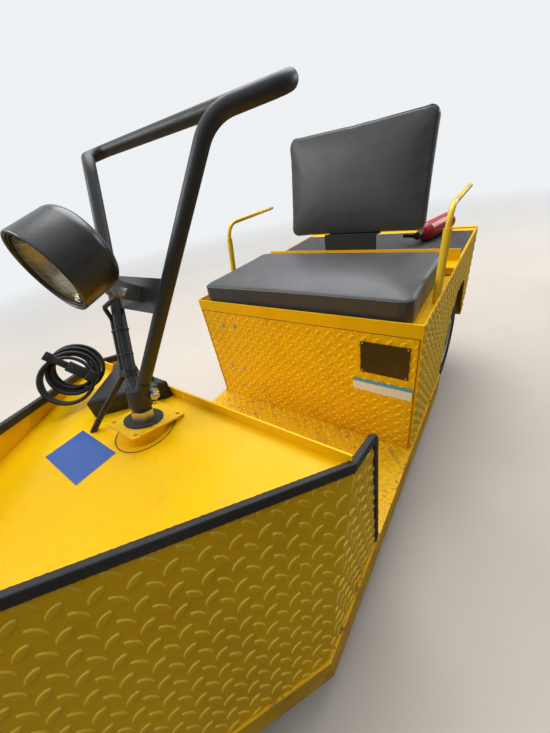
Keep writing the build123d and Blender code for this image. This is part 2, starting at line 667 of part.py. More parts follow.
# Headlamp: a rubber bucket round the lamp's axis, with its lens
LAMP_DIR = Vector(cos(radians(LAMP_PITCH)), 0, -sin(radians(LAMP_PITCH)))
LAMP_PLANE = Plane(origin=(LAMP_RIM_X, 0, LAMP_RIM_Z), x_dir=(0, 1, 0), z_dir=LAMP_DIR)
LAMP_SECTION = Plane(origin=(LAMP_RIM_X, 0, LAMP_RIM_Z), x_dir=LAMP_DIR, z_dir=(0, -1, 0))
LAMP_AXIS = Axis((LAMP_RIM_X, 0, LAMP_RIM_Z), tuple(LAMP_DIR))
BUCKET_ROUND = 22.0
BUCKET_ROLL = 2.5
with BuildPart() as lamp_bucket:
    with BuildSketch(LAMP_SECTION):
        with BuildLine():
            FilletPolyline(
                (-LAMP_DEPTH, 0),
                (-LAMP_DEPTH, LAMP_RADIUS),
                (0, LAMP_RADIUS),
                (0, LAMP_RADIUS - LAMP_WALL),
                (-LAMP_DEPTH + LAMP_WALL, LAMP_RADIUS - LAMP_WALL),
                (-LAMP_DEPTH + LAMP_WALL, 0),
                radius=[BUCKET_ROUND, BUCKET_ROLL, BUCKET_ROLL, BUCKET_ROUND - LAMP_WALL],
            )
            Line((-LAMP_DEPTH + LAMP_WALL, 0), (-LAMP_DEPTH, 0))
        make_face()
    revolve(axis=LAMP_AXIS)
write(lamp_bucket.part, "lamp_bucket", BLACK)

LENS_RADIUS = LAMP_RADIUS - LAMP_WALL
LENS_DOME = 6.0
LENS_BACK = -LENS_RECESS - LENS_THICK
with BuildPart() as lamp_lens:
    with BuildSketch(LAMP_SECTION):
        Polygon(
            (LENS_BACK, 0),
            (LENS_BACK, LENS_RADIUS - SEAT_GAP),
            (-LENS_RECESS, LENS_RADIUS - SEAT_GAP),
            (-LENS_RECESS + LENS_DOME * 0.6, LENS_RADIUS * 0.6),
            (-LENS_RECESS + LENS_DOME, 0),
            align=None,
        )
    revolve(axis=LAMP_AXIS)
write(lamp_lens.part, "lamp_lens", STEEL)

# Lamp bracket: a channel on the cross plate, its two ears under the bucket, and their bolt
EAR_GAP = 22.0
EAR_THICK = 3.0
EAR_HEIGHT = 30.0
EAR_RISE = 39.0
EAR_FRONT_X = 480.0
EAR_BOLT = Vector(462.0, 0, FLOOR_Z + 736)
EAR_BOLT_RADIUS = 4.0
EAR_BOLT_HEAD = 6.5
EAR_HALF = EAR_GAP / 2 + EAR_THICK
CROSS_FACE = CROSS_PLANE.z_dir
FOOT_LOW = CROSS_PLANE.from_local_coords(Vector(0, (CROSS_HEIGHT - EAR_HEIGHT) / 2, SEAT_GAP))
FOOT_HIGH = FOOT_LOW + CROSS_SLOPE.normalized() * EAR_HEIGHT
BOLT_PLANE = Plane(origin=EAR_BOLT, x_dir=(1, 0, 0), z_dir=(0, 1, 0))
with BuildPart() as lamp_bracket:
    with BuildSketch(Plane.XZ):
        Polygon(
            (FOOT_HIGH.X, FOOT_HIGH.Z),
            (FOOT_LOW.X, FOOT_LOW.Z),
            (EAR_BOLT.X, EAR_BOLT.Z - EAR_HEIGHT / 2),
            (EAR_FRONT_X, EAR_BOLT.Z),
            (EAR_FRONT_X, EAR_BOLT.Z + EAR_RISE * 0.7),
            (EAR_BOLT.X + 8, EAR_BOLT.Z + EAR_RISE),
            (EAR_BOLT.X - 8, EAR_BOLT.Z + EAR_RISE * 0.4),
            align=None,
        )
    extrude(amount=EAR_HALF, both=True)
    with BuildSketch(Plane.XZ):
        Polygon(
            (FOOT_LOW.X + CROSS_FACE.X * EAR_THICK, FLOOR_Z),
            (FOOT_LOW.X + CROSS_FACE.X * EAR_THICK, FOOT_LOW.Z + CROSS_FACE.Z * EAR_THICK),
            (FOOT_HIGH.X + CROSS_FACE.X * EAR_THICK, FOOT_HIGH.Z + CROSS_FACE.Z * EAR_THICK),
            (FOOT_HIGH.X + CROSS_FACE.X * EAR_THICK, LAMP_RIM_Z + EAR_THICK),
            (EAR_FRONT_X + EAR_THICK, LAMP_RIM_Z + EAR_THICK),
            (EAR_FRONT_X + EAR_THICK, FLOOR_Z),
            align=None,
        )
    extrude(amount=EAR_GAP / 2, both=True, mode=Mode.SUBTRACT)
    with BuildSketch(BOLT_PLANE):
        Circle(EAR_BOLT_RADIUS)
    extrude(amount=EAR_HALF + 4, both=True)
    for side in (-1, 1):
        with BuildSketch(BOLT_PLANE.offset(side * EAR_HALF)):
            RegularPolygon(EAR_BOLT_HEAD, 6, major_radius=False)
        extrude(amount=side * 5.5)
    with BuildSketch(LAMP_SECTION):
        with BuildLine():
            FilletPolyline(
                (-LAMP_DEPTH - SEAT_GAP, 0),
                (-LAMP_DEPTH - SEAT_GAP, LAMP_RADIUS + SEAT_GAP),
                (0, LAMP_RADIUS + SEAT_GAP),
                radius=BUCKET_ROUND + SEAT_GAP,
            )
            Polyline((0, LAMP_RADIUS + SEAT_GAP), (0, 0), (-LAMP_DEPTH - SEAT_GAP, 0))
        make_face()
    revolve(axis=LAMP_AXIS, mode=Mode.SUBTRACT)
write(lamp_bracket.part, "lamp_bracket", STEEL)

# Lamp harness: tied along the right leg, from the bracket down to the socket
HARNESS_RADIUS = 4.5
HARNESS_TOP_Z = FLOOR_Z + 672
HARNESS_REACH = 28.0
HARNESS_LOW_Z = FLOOR_Z + 578
HARNESS_BEND = 12.0
LEG_DIR = (BAR_SHOULDER_POINT - BAR_FOOT_POINT).normalized()
LEG_OUT = Vector(0.5, 0.85, 0) - LEG_DIR * LEG_DIR.dot(Vector(0.5, 0.85, 0))
HARNESS_OFFSET = LEG_OUT.normalized() * (BAR_RADIUS + HARNESS_RADIUS + SEAT_GAP)
HARNESS_ROUTE = [leg_point(HARNESS_LOW_Z) + HARNESS_OFFSET, leg_point(HARNESS_TOP_Z) + HARNESS_OFFSET]
HARNESS_FRONT = leg_point(CROSS_LOW_Z + EAR_HEIGHT / 3) + Vector(HARNESS_REACH, 0, 0)
HARNESS_END = EAR_BOLT + Vector(0, EAR_HALF, -EAR_HEIGHT / 3)
with BuildPart() as lamp_harness:
    with BuildLine() as harness_line:
        FilletPolyline(
            *[(point.X, -point.Y, point.Z) for point in (*HARNESS_ROUTE, HARNESS_FRONT, HARNESS_END)],
            radius=HARNESS_BEND,
        )
    with BuildSketch(Plane(origin=harness_line.line @ 0, z_dir=harness_line.line % 0)):
        Circle(HARNESS_RADIUS)
    sweep()
    add(lamp_bracket.part, mode=Mode.SUBTRACT)
write(lamp_harness.part, "lamp_harness", BLACK)

# Wheels: tyre and rim by revolving one section round each axle
WHEELS = (
    # name, axle point, outward direction
    ("front", FRONT_AXLE, 1),
    ("rear", Vector(REAR_AXLE_X, REAR_WHEEL_Y, WHEEL_RADIUS), 1),
    ("rear", Vector(REAR_AXLE_X, -REAR_WHEEL_Y, WHEEL_RADIUS), -1),
)
TYRE_HALF = TYRE_WIDTH / 2
TREAD_HALF = TYRE_HALF * 0.74
BEAD_HALF = TYRE_HALF * 0.8
BEAD_RADIUS = RIM_RADIUS + 14
SHOULDER_DROP = 7.0
WALL_RADIUS = (BEAD_RADIUS + WHEEL_RADIUS) / 2


def tyre_solid(centre):
    """Tyre with a crowned tread and bulging walls, hollow inside."""
    section = Plane(origin=centre, x_dir=(0, 1, 0), z_dir=(-1, 0, 0))
    up = Vector(0, 0, 1)
    flip = 1 if section.y_dir.dot(up) > 0 else -1
    with BuildPart() as tyre:
        with BuildSketch(section):
            with BuildLine():
                ThreePointArc(
                    (-TREAD_HALF, flip * (WHEEL_RADIUS - SHOULDER_DROP)),
                    (0, flip * WHEEL_RADIUS),
                    (TREAD_HALF, flip * (WHEEL_RADIUS - SHOULDER_DROP)),
                )
                ThreePointArc(
                    (TREAD_HALF, flip * (WHEEL_RADIUS - SHOULDER_DROP)),
                    (TYRE_HALF, flip * WALL_RADIUS),
                    (BEAD_HALF, flip * (BEAD_RADIUS + 1)),
                )
                Line((BEAD_HALF, flip * (BEAD_RADIUS + 1)), (BEAD_HALF, flip * (RIM_RADIUS + SEAT_GAP)))
                Line((BEAD_HALF, flip * (RIM_RADIUS + SEAT_GAP)), (BEAD_HALF - 9, flip * (RIM_RADIUS + SEAT_GAP)))
                ThreePointArc(
                    (BEAD_HALF - 9, flip * (RIM_RADIUS + SEAT_GAP)),
                    (TYRE_HALF - 9, flip * WALL_RADIUS),
                    (TREAD_HALF - 6, flip * (WHEEL_RADIUS - SHOULDER_DROP - 12)),
                )
                ThreePointArc(
                    (TREAD_HALF - 6, flip * (WHEEL_RADIUS - SHOULDER_DROP - 12)),
                    (0, flip * (WHEEL_RADIUS - 14)),
                    (-TREAD_HALF + 6, flip * (WHEEL_RADIUS - SHOULDER_DROP - 12)),
                )
                ThreePointArc(
                    (-TREAD_HALF + 6, flip * (WHEEL_RADIUS - SHOULDER_DROP - 12)),
                    (-TYRE_HALF + 9, flip * WALL_RADIUS),
                    (-BEAD_HALF + 9, flip * (RIM_RADIUS + SEAT_GAP)),
                )
                Line((-BEAD_HALF + 9, flip * (RIM_RADIUS + SEAT_GAP)), (-BEAD_HALF, flip * (RIM_RADIUS + SEAT_GAP)))
                Line((-BEAD_HALF, flip * (RIM_RADIUS + SEAT_GAP)), (-BEAD_HALF, flip * (BEAD_RADIUS + 1)))
                ThreePointArc(
                    (-BEAD_HALF, flip * (BEAD_RADIUS + 1)),
                    (-TYRE_HALF, flip * WALL_RADIUS),
                    (-TREAD_HALF, flip * (WHEEL_RADIUS - SHOULDER_DROP)),
                )
            make_face()
        revolve(axis=Axis(tuple(centre), (0, 1, 0)))
    return tyre.part


def rim_solid(centre, outward):
    """Pressed rim: flanged barrel, dished disc with lug bolts, and hub bored for its spindle."""
    section = Plane(origin=centre, x_dir=(0, 1, 0), z_dir=(-1, 0, 0))
    flip = 1 if section.y_dir.Z > 0 else -1
    disc_y = outward * 8.0
    face_plane = Plane(origin=centre + Vector(0, disc_y, 0), x_dir=(1, 0, 0), z_dir=(0, outward, 0))
    with BuildPart() as rim:
        with BuildSketch(section):
            Polygon(
                (-BEAD_HALF - RIM_WALL, flip * BEAD_RADIUS),
                (-BEAD_HALF - SEAT_GAP, flip * BEAD_RADIUS),
                (-BEAD_HALF - SEAT_GAP, flip * RIM_RADIUS),
                (-BEAD_HALF + 16, flip * RIM_RADIUS),
                (-BEAD_HALF + 24, flip * (RIM_RADIUS - 14)),
                (BEAD_HALF - 24, flip * (RIM_RADIUS - 14)),
                (BEAD_HALF - 16, flip * RIM_RADIUS),
                (BEAD_HALF + SEAT_GAP, flip * RIM_RADIUS),
                (BEAD_HALF + SEAT_GAP, flip * BEAD_RADIUS),
                (BEAD_HALF + RIM_WALL, flip * BEAD_RADIUS),
                (BEAD_HALF + RIM_WALL, flip * (RIM_RADIUS - RIM_WALL)),
                (BEAD_HALF - 18, flip * (RIM_RADIUS - RIM_WALL)),
                (BEAD_HALF - 26, flip * (RIM_RADIUS - 14 - RIM_WALL)),
                (-BEAD_HALF + 26, flip * (RIM_RADIUS - 14 - RIM_WALL)),
                (-BEAD_HALF + 18, flip * (RIM_RADIUS - RIM_WALL)),
                (-BEAD_HALF - RIM_WALL, flip * (RIM_RADIUS - RIM_WALL)),
                align=None,
            )
            Polygon(
                (disc_y, 0),
                (disc_y, flip * 58),
                (-disc_y, flip * (RIM_RADIUS - 15)),
                (-disc_y - outward * RIM_WALL, flip * (RIM_RADIUS - 15)),
                (disc_y - outward * RIM_WALL, flip * 55),
                (disc_y - outward * RIM_WALL, 0),
                align=None,
            )
            Polygon(
                (-HUB_HALF, 0), (-HUB_HALF, flip * HUB_RADIUS), (HUB_HALF, flip * HUB_RADIUS), (HUB_HALF, 0),
                align=None,
            )
        revolve(axis=Axis(tuple(centre), (0, 1, 0)))
        with BuildSketch(face_plane):
            with PolarLocations(46, LUG_COUNT):
                RegularPolygon(9, 6)
        extrude(amount=9)
        with BuildSketch(Plane(origin=centre, x_dir=(1, 0, 0), z_dir=(0, 1, 0))):
            Circle(SPINDLE_RADIUS + RUNNING_GAP)
        extrude(amount=TYRE_WIDTH, both=True, mode=Mode.SUBTRACT)
    return rim.part


for wheel_name, wheel_centre, wheel_out in WHEELS:
    side_name = "" if wheel_name == "front" else ("_left" if wheel_out > 0 else "_right")
    write(tyre_solid(wheel_centre), wheel_name + "_tyre" + side_name, BLACK)
    write(rim_solid(wheel_centre, wheel_out), wheel_name + "_rim" + side_name, STEEL)

# Rear axle: tube, spindles and end nuts
AXLE_END = REAR_WHEEL_Y + HUB_HALF
SPINDLE_START = REAR_WHEEL_Y - HUB_HALF - 1
REAR_AXLE_PLANE = Plane(origin=(REAR_AXLE_X, 0, WHEEL_RADIUS), x_dir=(1, 0, 0), z_dir=(0, 1, 0))
with BuildPart() as rear_axle:
    with BuildSketch(REAR_AXLE_PLANE):
        Circle(AXLE_TUBE_RADIUS)
    extrude(amount=SPINDLE_START, both=True)
    with BuildSketch(REAR_AXLE_PLANE):
        Circle(SPINDLE_RADIUS)
    extrude(amount=AXLE_END + 1, both=True)
    for side in (-1, 1):
        with BuildSketch(REAR_AXLE_PLANE.offset(side * (AXLE_END + 1))):
            RegularPolygon(SPINDLE_RADIUS + 6, 6)
        extrude(amount=side * 10)
    with BuildSketch(REAR_AXLE_PLANE):
        Circle(GEARBOX_RADIUS)
    extrude(amount=GEARBOX_WIDTH / 2, both=True)
    fillet(rear_axle.edges().filter_by(GeomType.CIRCLE).filter_by(lambda e: e.radius == GEARBOX_RADIUS), 18)
write(rear_axle.part, "rear_axle", BLACK)

# Drive motor, bolted to the front of the gearbox
MOTOR_REAR_X = REAR_AXLE_X + GEARBOX_RADIUS - 25
with BuildPart() as drive_motor:
    with BuildSketch(Plane.YZ.offset(MOTOR_REAR_X)):
        with Locations((0, WHEEL_RADIUS)):
            Circle(MOTOR_RADIUS * 0.6)
    extrude(amount=MOTOR_NECK)
    with BuildSketch(Plane.YZ.offset(MOTOR_REAR_X + MOTOR_NECK)):
        with Locations((0, WHEEL_RADIUS)):
            Circle(MOTOR_RADIUS)
    extrude(amount=MOTOR_LENGTH)
    chamfer(drive_motor.faces().sort_by(Axis.X)[-1].edges(), 10)
    add(rear_axle.part, mode=Mode.SUBTRACT)
write(drive_motor.part, "drive_motor", BLACK)

# Leaf springs under the axle, hung from the raised rails
SPRING_TOP_Z = WHEEL_RADIUS - AXLE_TUBE_RADIUS - SEAT_GAP
SPRING_HANGER_TOP = KICK_TOP_Z - FRAME_RAIL_HEIGHT
SPRING_END_Z = SPRING_HANGER_TOP - 22
with BuildPart() as leaf_springs:
    for side in (-1, 1):
        with BuildSketch(Plane.XZ.offset(-side * FRAME_RAIL_Y)):
            with BuildLine():
                ThreePointArc(
                    (REAR_AXLE_X - SPRING_HALF_SPAN, SPRING_END_Z),
                    (REAR_AXLE_X, SPRING_TOP_Z),
                    (REAR_AXLE_X + SPRING_HALF_SPAN, SPRING_END_Z),
                )
                Line(
                    (REAR_AXLE_X + SPRING_HALF_SPAN, SPRING_END_Z),
                    (REAR_AXLE_X + SPRING_HALF_SPAN, SPRING_END_Z - SPRING_THICK),
                )
                ThreePointArc(
                    (REAR_AXLE_X + SPRING_HALF_SPAN, SPRING_END_Z - SPRING_THICK),
                    (REAR_AXLE_X, SPRING_TOP_Z - 2 * SPRING_THICK),
                    (REAR_AXLE_X - SPRING_HALF_SPAN, SPRING_END_Z - SPRING_THICK),
                )
                Line(
                    (REAR_AXLE_X - SPRING_HALF_SPAN, SPRING_END_Z - SPRING_THICK),
                    (REAR_AXLE_X - SPRING_HALF_SPAN, SPRING_END_Z),
                )
            make_face()
        extrude(amount=SPRING_WIDTH / 2, both=True)
        for end in (-1, 1):
            with BuildSketch(Plane.XZ.offset(-side * FRAME_RAIL_Y)):
                with Locations((REAR_AXLE_X + end * (SPRING_HALF_SPAN - 8), SPRING_END_Z - SPRING_THICK)):
                    Rectangle(
                        16,
                        SPRING_HANGER_TOP - SPRING_END_Z + SPRING_THICK,
                        align=(Align.CENTER, Align.MIN),
                    )
            extrude(amount=SPRING_WIDTH / 2, both=True)
write(leaf_springs.part, "leaf_springs", BLACK)

# Seat box front: panel, proud smooth lip, and the ledge down inside that carries the lid
INSIDE_HALF = PANEL_HALF - SHEET - SEAT_GAP
LEDGE_TOP_Z = RIM_Z - RECESS
LID_LOW_Z = LEDGE_TOP_Z + SEAT_GAP
LID_TOP_Z = LID_LOW_Z + LID_THICK
LEDGE_START_X = SEAT_FACE_X - SHEET
with BuildPart() as seat_box_front:
    with BuildSketch(Plane.YZ.offset(SEAT_FACE_X)):
        with Locations((0, FLOOR_Z)):
            Rectangle(2 * INSIDE_HALF, RIM_Z - FLOOR_Z, align=(Align.CENTER, Align.MIN))
    extrude(amount=-SHEET)
    with BuildSketch(Plane.XZ):
        Polygon(
            (LEDGE_START_X, LEDGE_TOP_Z),
            (LEDGE_START_X - FRONT_LEDGE, LEDGE_TOP_Z),
            (LEDGE_START_X - FRONT_LEDGE, LEDGE_TOP_Z - LEDGE_FOLD),
            (LEDGE_START_X - FRONT_LEDGE + SHEET, LEDGE_TOP_Z - LEDGE_FOLD),
            (LEDGE_START_X - FRONT_LEDGE + SHEET, LEDGE_TOP_Z - SHEET),
            (LEDGE_START_X, LEDGE_TOP_Z - SHEET),
            align=None,
        )
    extrude(amount=PANEL_HALF - SHEET - SIDE_LEDGE - SEAT_GAP, both=True)
    with BuildSketch(Plane.YZ.offset(SEAT_FACE_X)):
        with Locations((0, RIM_Z)):
            Rectangle(2 * PANEL_HALF, LIP_HEIGHT, align=(Align.CENTER, Align.MAX))
    extrude(amount=LIP_PROUD)
write(seat_box_front.part, "seat_box_front", YELLOW)

# Side panels with the wheel arch, the rim beside the lid and its ledge
ARCH = [
    (RAIL_REAR_X, FLOOR_Z + 36),
    (-546.0, FLOOR_Z + 203),
    (-583.0, FLOOR_Z + 244),
    (-655.0, FLOOR_Z + 287),
    (-707.0, FLOOR_Z + 309),
    (-805.0, FLOOR_Z + 302),
    (-895.0, FLOOR_Z + 273),
    (-941.0, FLOOR_Z + 162),
]
SIDE_PLANE = Plane(origin=(0, PANEL_HALF, 0), x_dir=(1, 0, 0), z_dir=(0, -1, 0))
with BuildPart() as side_panel_left:
    with BuildSketch(SIDE_PLANE):
        Polygon(
            (SEAT_FACE_X, FLOOR_Z),
            (SEAT_FACE_X, RIM_Z),
            (REAR_X, RIM_Z),
            (REAR_X, TAIL_CORNER_Z),
            (TAIL_TIP_X, TAIL_TIP_Z),
            *reversed(ARCH),
            (RAIL_REAR_X, FLOOR_Z),
            align=None,
        )
    extrude(amount=SHEET)
    with BuildSketch(Plane.YZ.offset(SEAT_FACE_X - SHEET - SEAT_GAP)):
        Polygon(
            (PANEL_HALF - SHEET, LEDGE_TOP_Z),
            (PANEL_HALF - SHEET - SIDE_LEDGE, LEDGE_TOP_Z),
            (PANEL_HALF - SHEET - SIDE_LEDGE, LEDGE_TOP_Z - LEDGE_FOLD),
            (PANEL_HALF - SIDE_LEDGE, LEDGE_TOP_Z - LEDGE_FOLD),
            (PANEL_HALF - SIDE_LEDGE, LEDGE_TOP_Z - SHEET),
            (PANEL_HALF - SHEET, LEDGE_TOP_Z - SHEET),
            align=None,
        )
    extrude(amount=SHELF_FRONT_X - SEAT_FACE_X + SHEET + 2 * SEAT_GAP)
write(side_panel_left.part, "side_panel_left", YELLOW)

with BuildPart() as side_panel_right:
    mirror(side_panel_left.part, about=Plane.XZ)
write(side_panel_right.part, "side_panel_right", YELLOW)

# Rear panel: folded top edge, upright face and the slope under the tail
with BuildPart() as rear_panel:
    with BuildSketch(Plane.XZ):
        Polygon(
            (REAR_X, RIM_Z),
            (REAR_X + REAR_FLANGE, RIM_Z),
            (REAR_X + REAR_FLANGE, RIM_Z - SHEET),
            (REAR_X + SHEET, RIM_Z - SHEET),
            (REAR_X + SHEET, TAIL_CORNER_Z + 1),
            (TAIL_TIP_X + SHEET, TAIL_TIP_Z + 1),
            (TAIL_TIP_X, TAIL_TIP_Z),
            (REAR_X, TAIL_CORNER_Z),
            align=None,
        )
    extrude(amount=INSIDE_HALF, both=True)
write(rear_panel.part, "rear_panel", YELLOW)

# Rear deck: flanged plate behind the lid, with the cross lip under the backrest
HINGE_BARREL = 5.0
HINGE_PIN = 2.5
HINGE_YS = (-250.0, 250.0)
HINGE_LENGTH = 60.0
LEAF_LENGTH = 20.0
HINGE_PLANE = Plane(origin=(HINGE_X, 0, HINGE_Z), x_dir=(1, 0, 0), z_dir=(0, 1, 0))
with BuildPart() as rear_deck:
    with BuildSketch(Plane.XZ):
        Polygon(
            (SHELF_FRONT_X, REAR_DECK_Z),
            (CROSS_LIP_X + DECK_PLATE, REAR_DECK_Z),
            (CROSS_LIP_X + DECK_PLATE, REAR_DECK_Z + CROSS_LIP_HEIGHT),
            (CROSS_LIP_X, REAR_DECK_Z + CROSS_LIP_HEIGHT),
            (CROSS_LIP_X, REAR_DECK_Z),
            (REAR_X + SHEET + SEAT_GAP, REAR_DECK_Z),
            (REAR_X + SHEET + SEAT_GAP, REAR_DECK_Z - DECK_PLATE),
            (SHELF_FRONT_X - DECK_PLATE, REAR_DECK_Z - DECK_PLATE),
            (SHELF_FRONT_X - DECK_PLATE, REAR_DECK_Z - 24),
            (SHELF_FRONT_X, REAR_DECK_Z - 24),
            align=None,
        )
    extrude(amount=INSIDE_HALF, both=True)
    for hinge_y in HINGE_YS:
        with BuildSketch(HINGE_PLANE.offset(hinge_y)):
            Circle(HINGE_BARREL)
        extrude(amount=HINGE_LENGTH / 2, both=True)
        with BuildSketch(Plane.XZ.offset(-hinge_y)):
            Polygon(
                (HINGE_X, HINGE_Z - HINGE_BARREL),
                (HINGE_X, HINGE_Z),
                (HINGE_X - 22, REAR_DECK_Z + 3),
                (HINGE_X - 22, REAR_DECK_Z),
                (HINGE_X - 2, REAR_DECK_Z),
                align=None,
            )
        extrude(amount=HINGE_LENGTH / 2, both=True)
        with BuildSketch(HINGE_PLANE.offset(hinge_y)):
            Circle(HINGE_PIN)
        extrude(amount=HINGE_LENGTH / 2 + LEAF_LENGTH + 2, both=True)
write(rear_deck.part, "rear_deck", YELLOW)

with BuildPart() as deck_mat:
    with BuildSketch(Plane.XY.offset(REAR_DECK_Z)):
        with Locations(((MAT_FRONT_X + MAT_REAR_X) / 2, 0)):
            Rectangle(MAT_FRONT_X - MAT_REAR_X, 2 * MAT_HALF)
    extrude(amount=MAT_THICK)
write(deck_mat.part, "deck_mat", BLACK)

# Battery pack on the floor plate, inside the seat box
with BuildPart() as battery_pack:
    with BuildSketch(Plane.XY.offset(FLOOR_Z)):
        with Locations((BATTERY_X, 0)):
            Rectangle(BATTERY_LENGTH, BATTERY_WIDTH)
    extrude(amount=BATTERY_HEIGHT)
    chamfer(battery_pack.faces().sort_by(Axis.Z)[-1].edges(), 6)
write(battery_pack.part, "battery_pack", BLACK)

# Seat lid: pan with cranked hinge leaves, and its cushion
LEAF_THICK = 3.0
with BuildPart() as seat_lid:
    with BuildSketch(Plane.XY.offset(LID_LOW_Z)):
        with Locations(((LID_FRONT_X + LID_REAR_X) / 2, 0)):
            Rectangle(LID_FRONT_X - LID_REAR_X, 2 * LID_HALF)
    extrude(amount=LID_THICK)
    for hinge_y in HINGE_YS:
        for side in (-1, 1):
            leaf_y = hinge_y + side * (HINGE_LENGTH / 2 + 1 + LEAF_LENGTH / 2)
            with BuildSketch(HINGE_PLANE.offset(leaf_y)):
                Circle(HINGE_BARREL)
            extrude(amount=LEAF_LENGTH / 2, both=True)
            with BuildSketch(Plane.XZ.offset(-leaf_y)):
                Polygon(
                    (HINGE_X, HINGE_Z + HINGE_BARREL),
                    (LID_REAR_X + LEAF_THICK, HINGE_Z + HINGE_BARREL),
                    (LID_REAR_X + LEAF_THICK, LID_TOP_Z),
                    (LID_REAR_X, LID_TOP_Z),
                    (LID_REAR_X, HINGE_Z + HINGE_BARREL - LEAF_THICK),
                    (HINGE_X, HINGE_Z + HINGE_BARREL - LEAF_THICK),
                    align=None,
                )
            extrude(amount=LEAF_LENGTH / 2, both=True)
            with BuildSketch(HINGE_PLANE.offset(leaf_y)):
                Circle(HINGE_PIN + RUNNING_GAP)
            extrude(amount=LEAF_LENGTH / 2 + 0.5, both=True, mode=Mode.SUBTRACT)
write(seat_lid.part, "seat_lid", YELLOW)

with BuildPart() as cushion:
    with BuildSketch(Plane.XZ):
        with BuildLine():
            Polyline(
                (CUSHION_FRONT_X, CUSHION_EDGE_Z),
                (CUSHION_FRONT_X, LID_TOP_Z + SEAT_GAP),
                (CUSHION_REAR_X, LID_TOP_Z + SEAT_GAP),
                (CUSHION_REAR_X, CUSHION_EDGE_Z + 14),
            )
            ThreePointArc(
                (CUSHION_REAR_X, CUSHION_EDGE_Z + 14),
                ((CUSHION_FRONT_X + CUSHION_REAR_X) / 2, CUSHION_CROWN_Z),
                (CUSHION_FRONT_X, CUSHION_EDGE_Z),
            )
        make_face()
    extrude(amount=CUSHION_HALF, both=True)
    fillet(cushion.edges().filter_by(Axis.Z), 24)
    fillet(cushion.faces().sort_by(Axis.Z)[-1].edges(), 12)
write(cushion.part, "cushion", BLACK)

# Backrest pad and the folded bracket behind it
RECLINE = radians(BACK_RECLINE)
BACK_PLANE = Plane(
    origin=(BACK_FOOT_X, 0, BACK_FOOT_Z),
    x_dir=(0, 1, 0),
    z_dir=(cos(RECLINE), 0, sin(RECLINE)),
)
with BuildPart() as backrest:
    with BuildSketch(BACK_PLANE):
        with Locations((0, BACK_HEIGHT / 2)):
            RectangleRounded(2 * BACK_HALF, BACK_HEIGHT, 46)
    extrude(amount=-BACK_THICK)
    fillet(backrest.faces().sort_by(Axis.X)[-1].edges(), 16)
write(backrest.part, "backrest", BLACK)


def behind_back(up, forward):
    """Point on the centre plane given in the backrest's own slope, as X and Z."""
    place = BACK_PLANE.from_local_coords(Vector(0, up, forward))
    return (place.X, place.Z)


BRACKET_BEHIND = BACK_THICK + SEAT_GAP
BRACKET_FRONT_X = CROSS_LIP_X - SEAT_GAP
BRACKET_RISE = 240.0
with BuildPart() as backrest_bracket:
    with BuildSketch(Plane.XZ):
        Polygon(
            (BRACKET_FRONT_X, REAR_DECK_Z),
            (BRACKET_FRONT_X, behind_back(-SEAT_GAP, 0)[1]),
            behind_back(-SEAT_GAP, -BRACKET_BEHIND),
            behind_back(BRACKET_RISE, -BRACKET_BEHIND),
            behind_back(BRACKET_RISE, -BRACKET_BEHIND - BRACKET_THICK),
            behind_back(-SEAT_GAP - BRACKET_THICK, -BRACKET_BEHIND - BRACKET_THICK),
            (BRACKET_FRONT_X - BRACKET_THICK, behind_back(-SEAT_GAP - BRACKET_THICK, 0)[1] - 2),
            (BRACKET_FRONT_X - BRACKET_THICK, REAR_DECK_Z),
            align=None,
        )
    extrude(amount=BRACKET_HALF, both=True)
write(backrest_bracket.part, "backrest_bracket", BLACK)

# Hip restraints: a bent rod out of a post on each side ledge
with BuildPart() as hip_restraints:
    for side in (-1, 1):
        foot = Vector(HOOP_FOOT_X, side * HOOP_Y, LEDGE_TOP_Z)
        top = Vector(HOOP_BEND_X, side * HOOP_Y, HOOP_TOP_Z)
        with BuildLine() as hoop_route:
            FilletPolyline(foot, top, (HOOP_REAR_X, side * HOOP_Y, HOOP_TOP_Z), radius=HOOP_BEND)
        with BuildSketch(Plane(origin=foot, z_dir=top - foot)):
            Circle(HOOP_RADIUS)
        sweep(path=hoop_route.line)
        with BuildSketch(Plane(origin=foot, z_dir=top - foot)):
            Circle(POST_RADIUS)
        extrude(amount=(HOOP_SLEEVE_Z - LEDGE_TOP_Z) * (top - foot).length / (HOOP_TOP_Z - LEDGE_TOP_Z))
    split(bisect_by=Plane.XY.offset(LEDGE_TOP_Z), keep=Keep.TOP)
write(hip_restraints.part, "hip_restraints", YELLOW)

# Extinguisher lying on the deck mat
BOTTLE_DIR = Vector(-cos(radians(BOTTLE_TURN)), sin(radians(BOTTLE_TURN)), 0)
BOTTLE_NECK = Vector(BOTTLE_X, BOTTLE_Y, REAR_DECK_Z + MAT_THICK + BOTTLE_RADIUS + SEAT_GAP)
BOTTLE_SECTION = Plane(origin=BOTTLE_NECK, x_dir=BOTTLE_DIR, z_dir=(0, 0, 1))
BOTTLE_AXIS = Axis(tuple(BOTTLE_NECK), tuple(BOTTLE_DIR))
NECK_RADIUS = 14.0
NECK_LENGTH = 12.0
DOME_LENGTH = 32.0
with BuildPart() as extinguisher_bottle:
    with BuildSketch(BOTTLE_SECTION):
        with BuildLine():
            Polyline((0, 0), (0, NECK_RADIUS), (NECK_LENGTH, NECK_RADIUS))
            ThreePointArc(
                (NECK_LENGTH, NECK_RADIUS),
                (NECK_LENGTH + DOME_LENGTH * 0.45, BOTTLE_RADIUS * 0.83),
                (NECK_LENGTH + DOME_LENGTH, BOTTLE_RADIUS),
            )
            Polyline(
                (NECK_LENGTH + DOME_LENGTH, BOTTLE_RADIUS),
                (BOTTLE_LENGTH, BOTTLE_RADIUS),
                (BOTTLE_LENGTH, 0),
                (0, 0),
            )
        make_face()
    revolve(axis=BOTTLE_AXIS)
write(extinguisher_bottle.part, "extinguisher_bottle", STEEL)

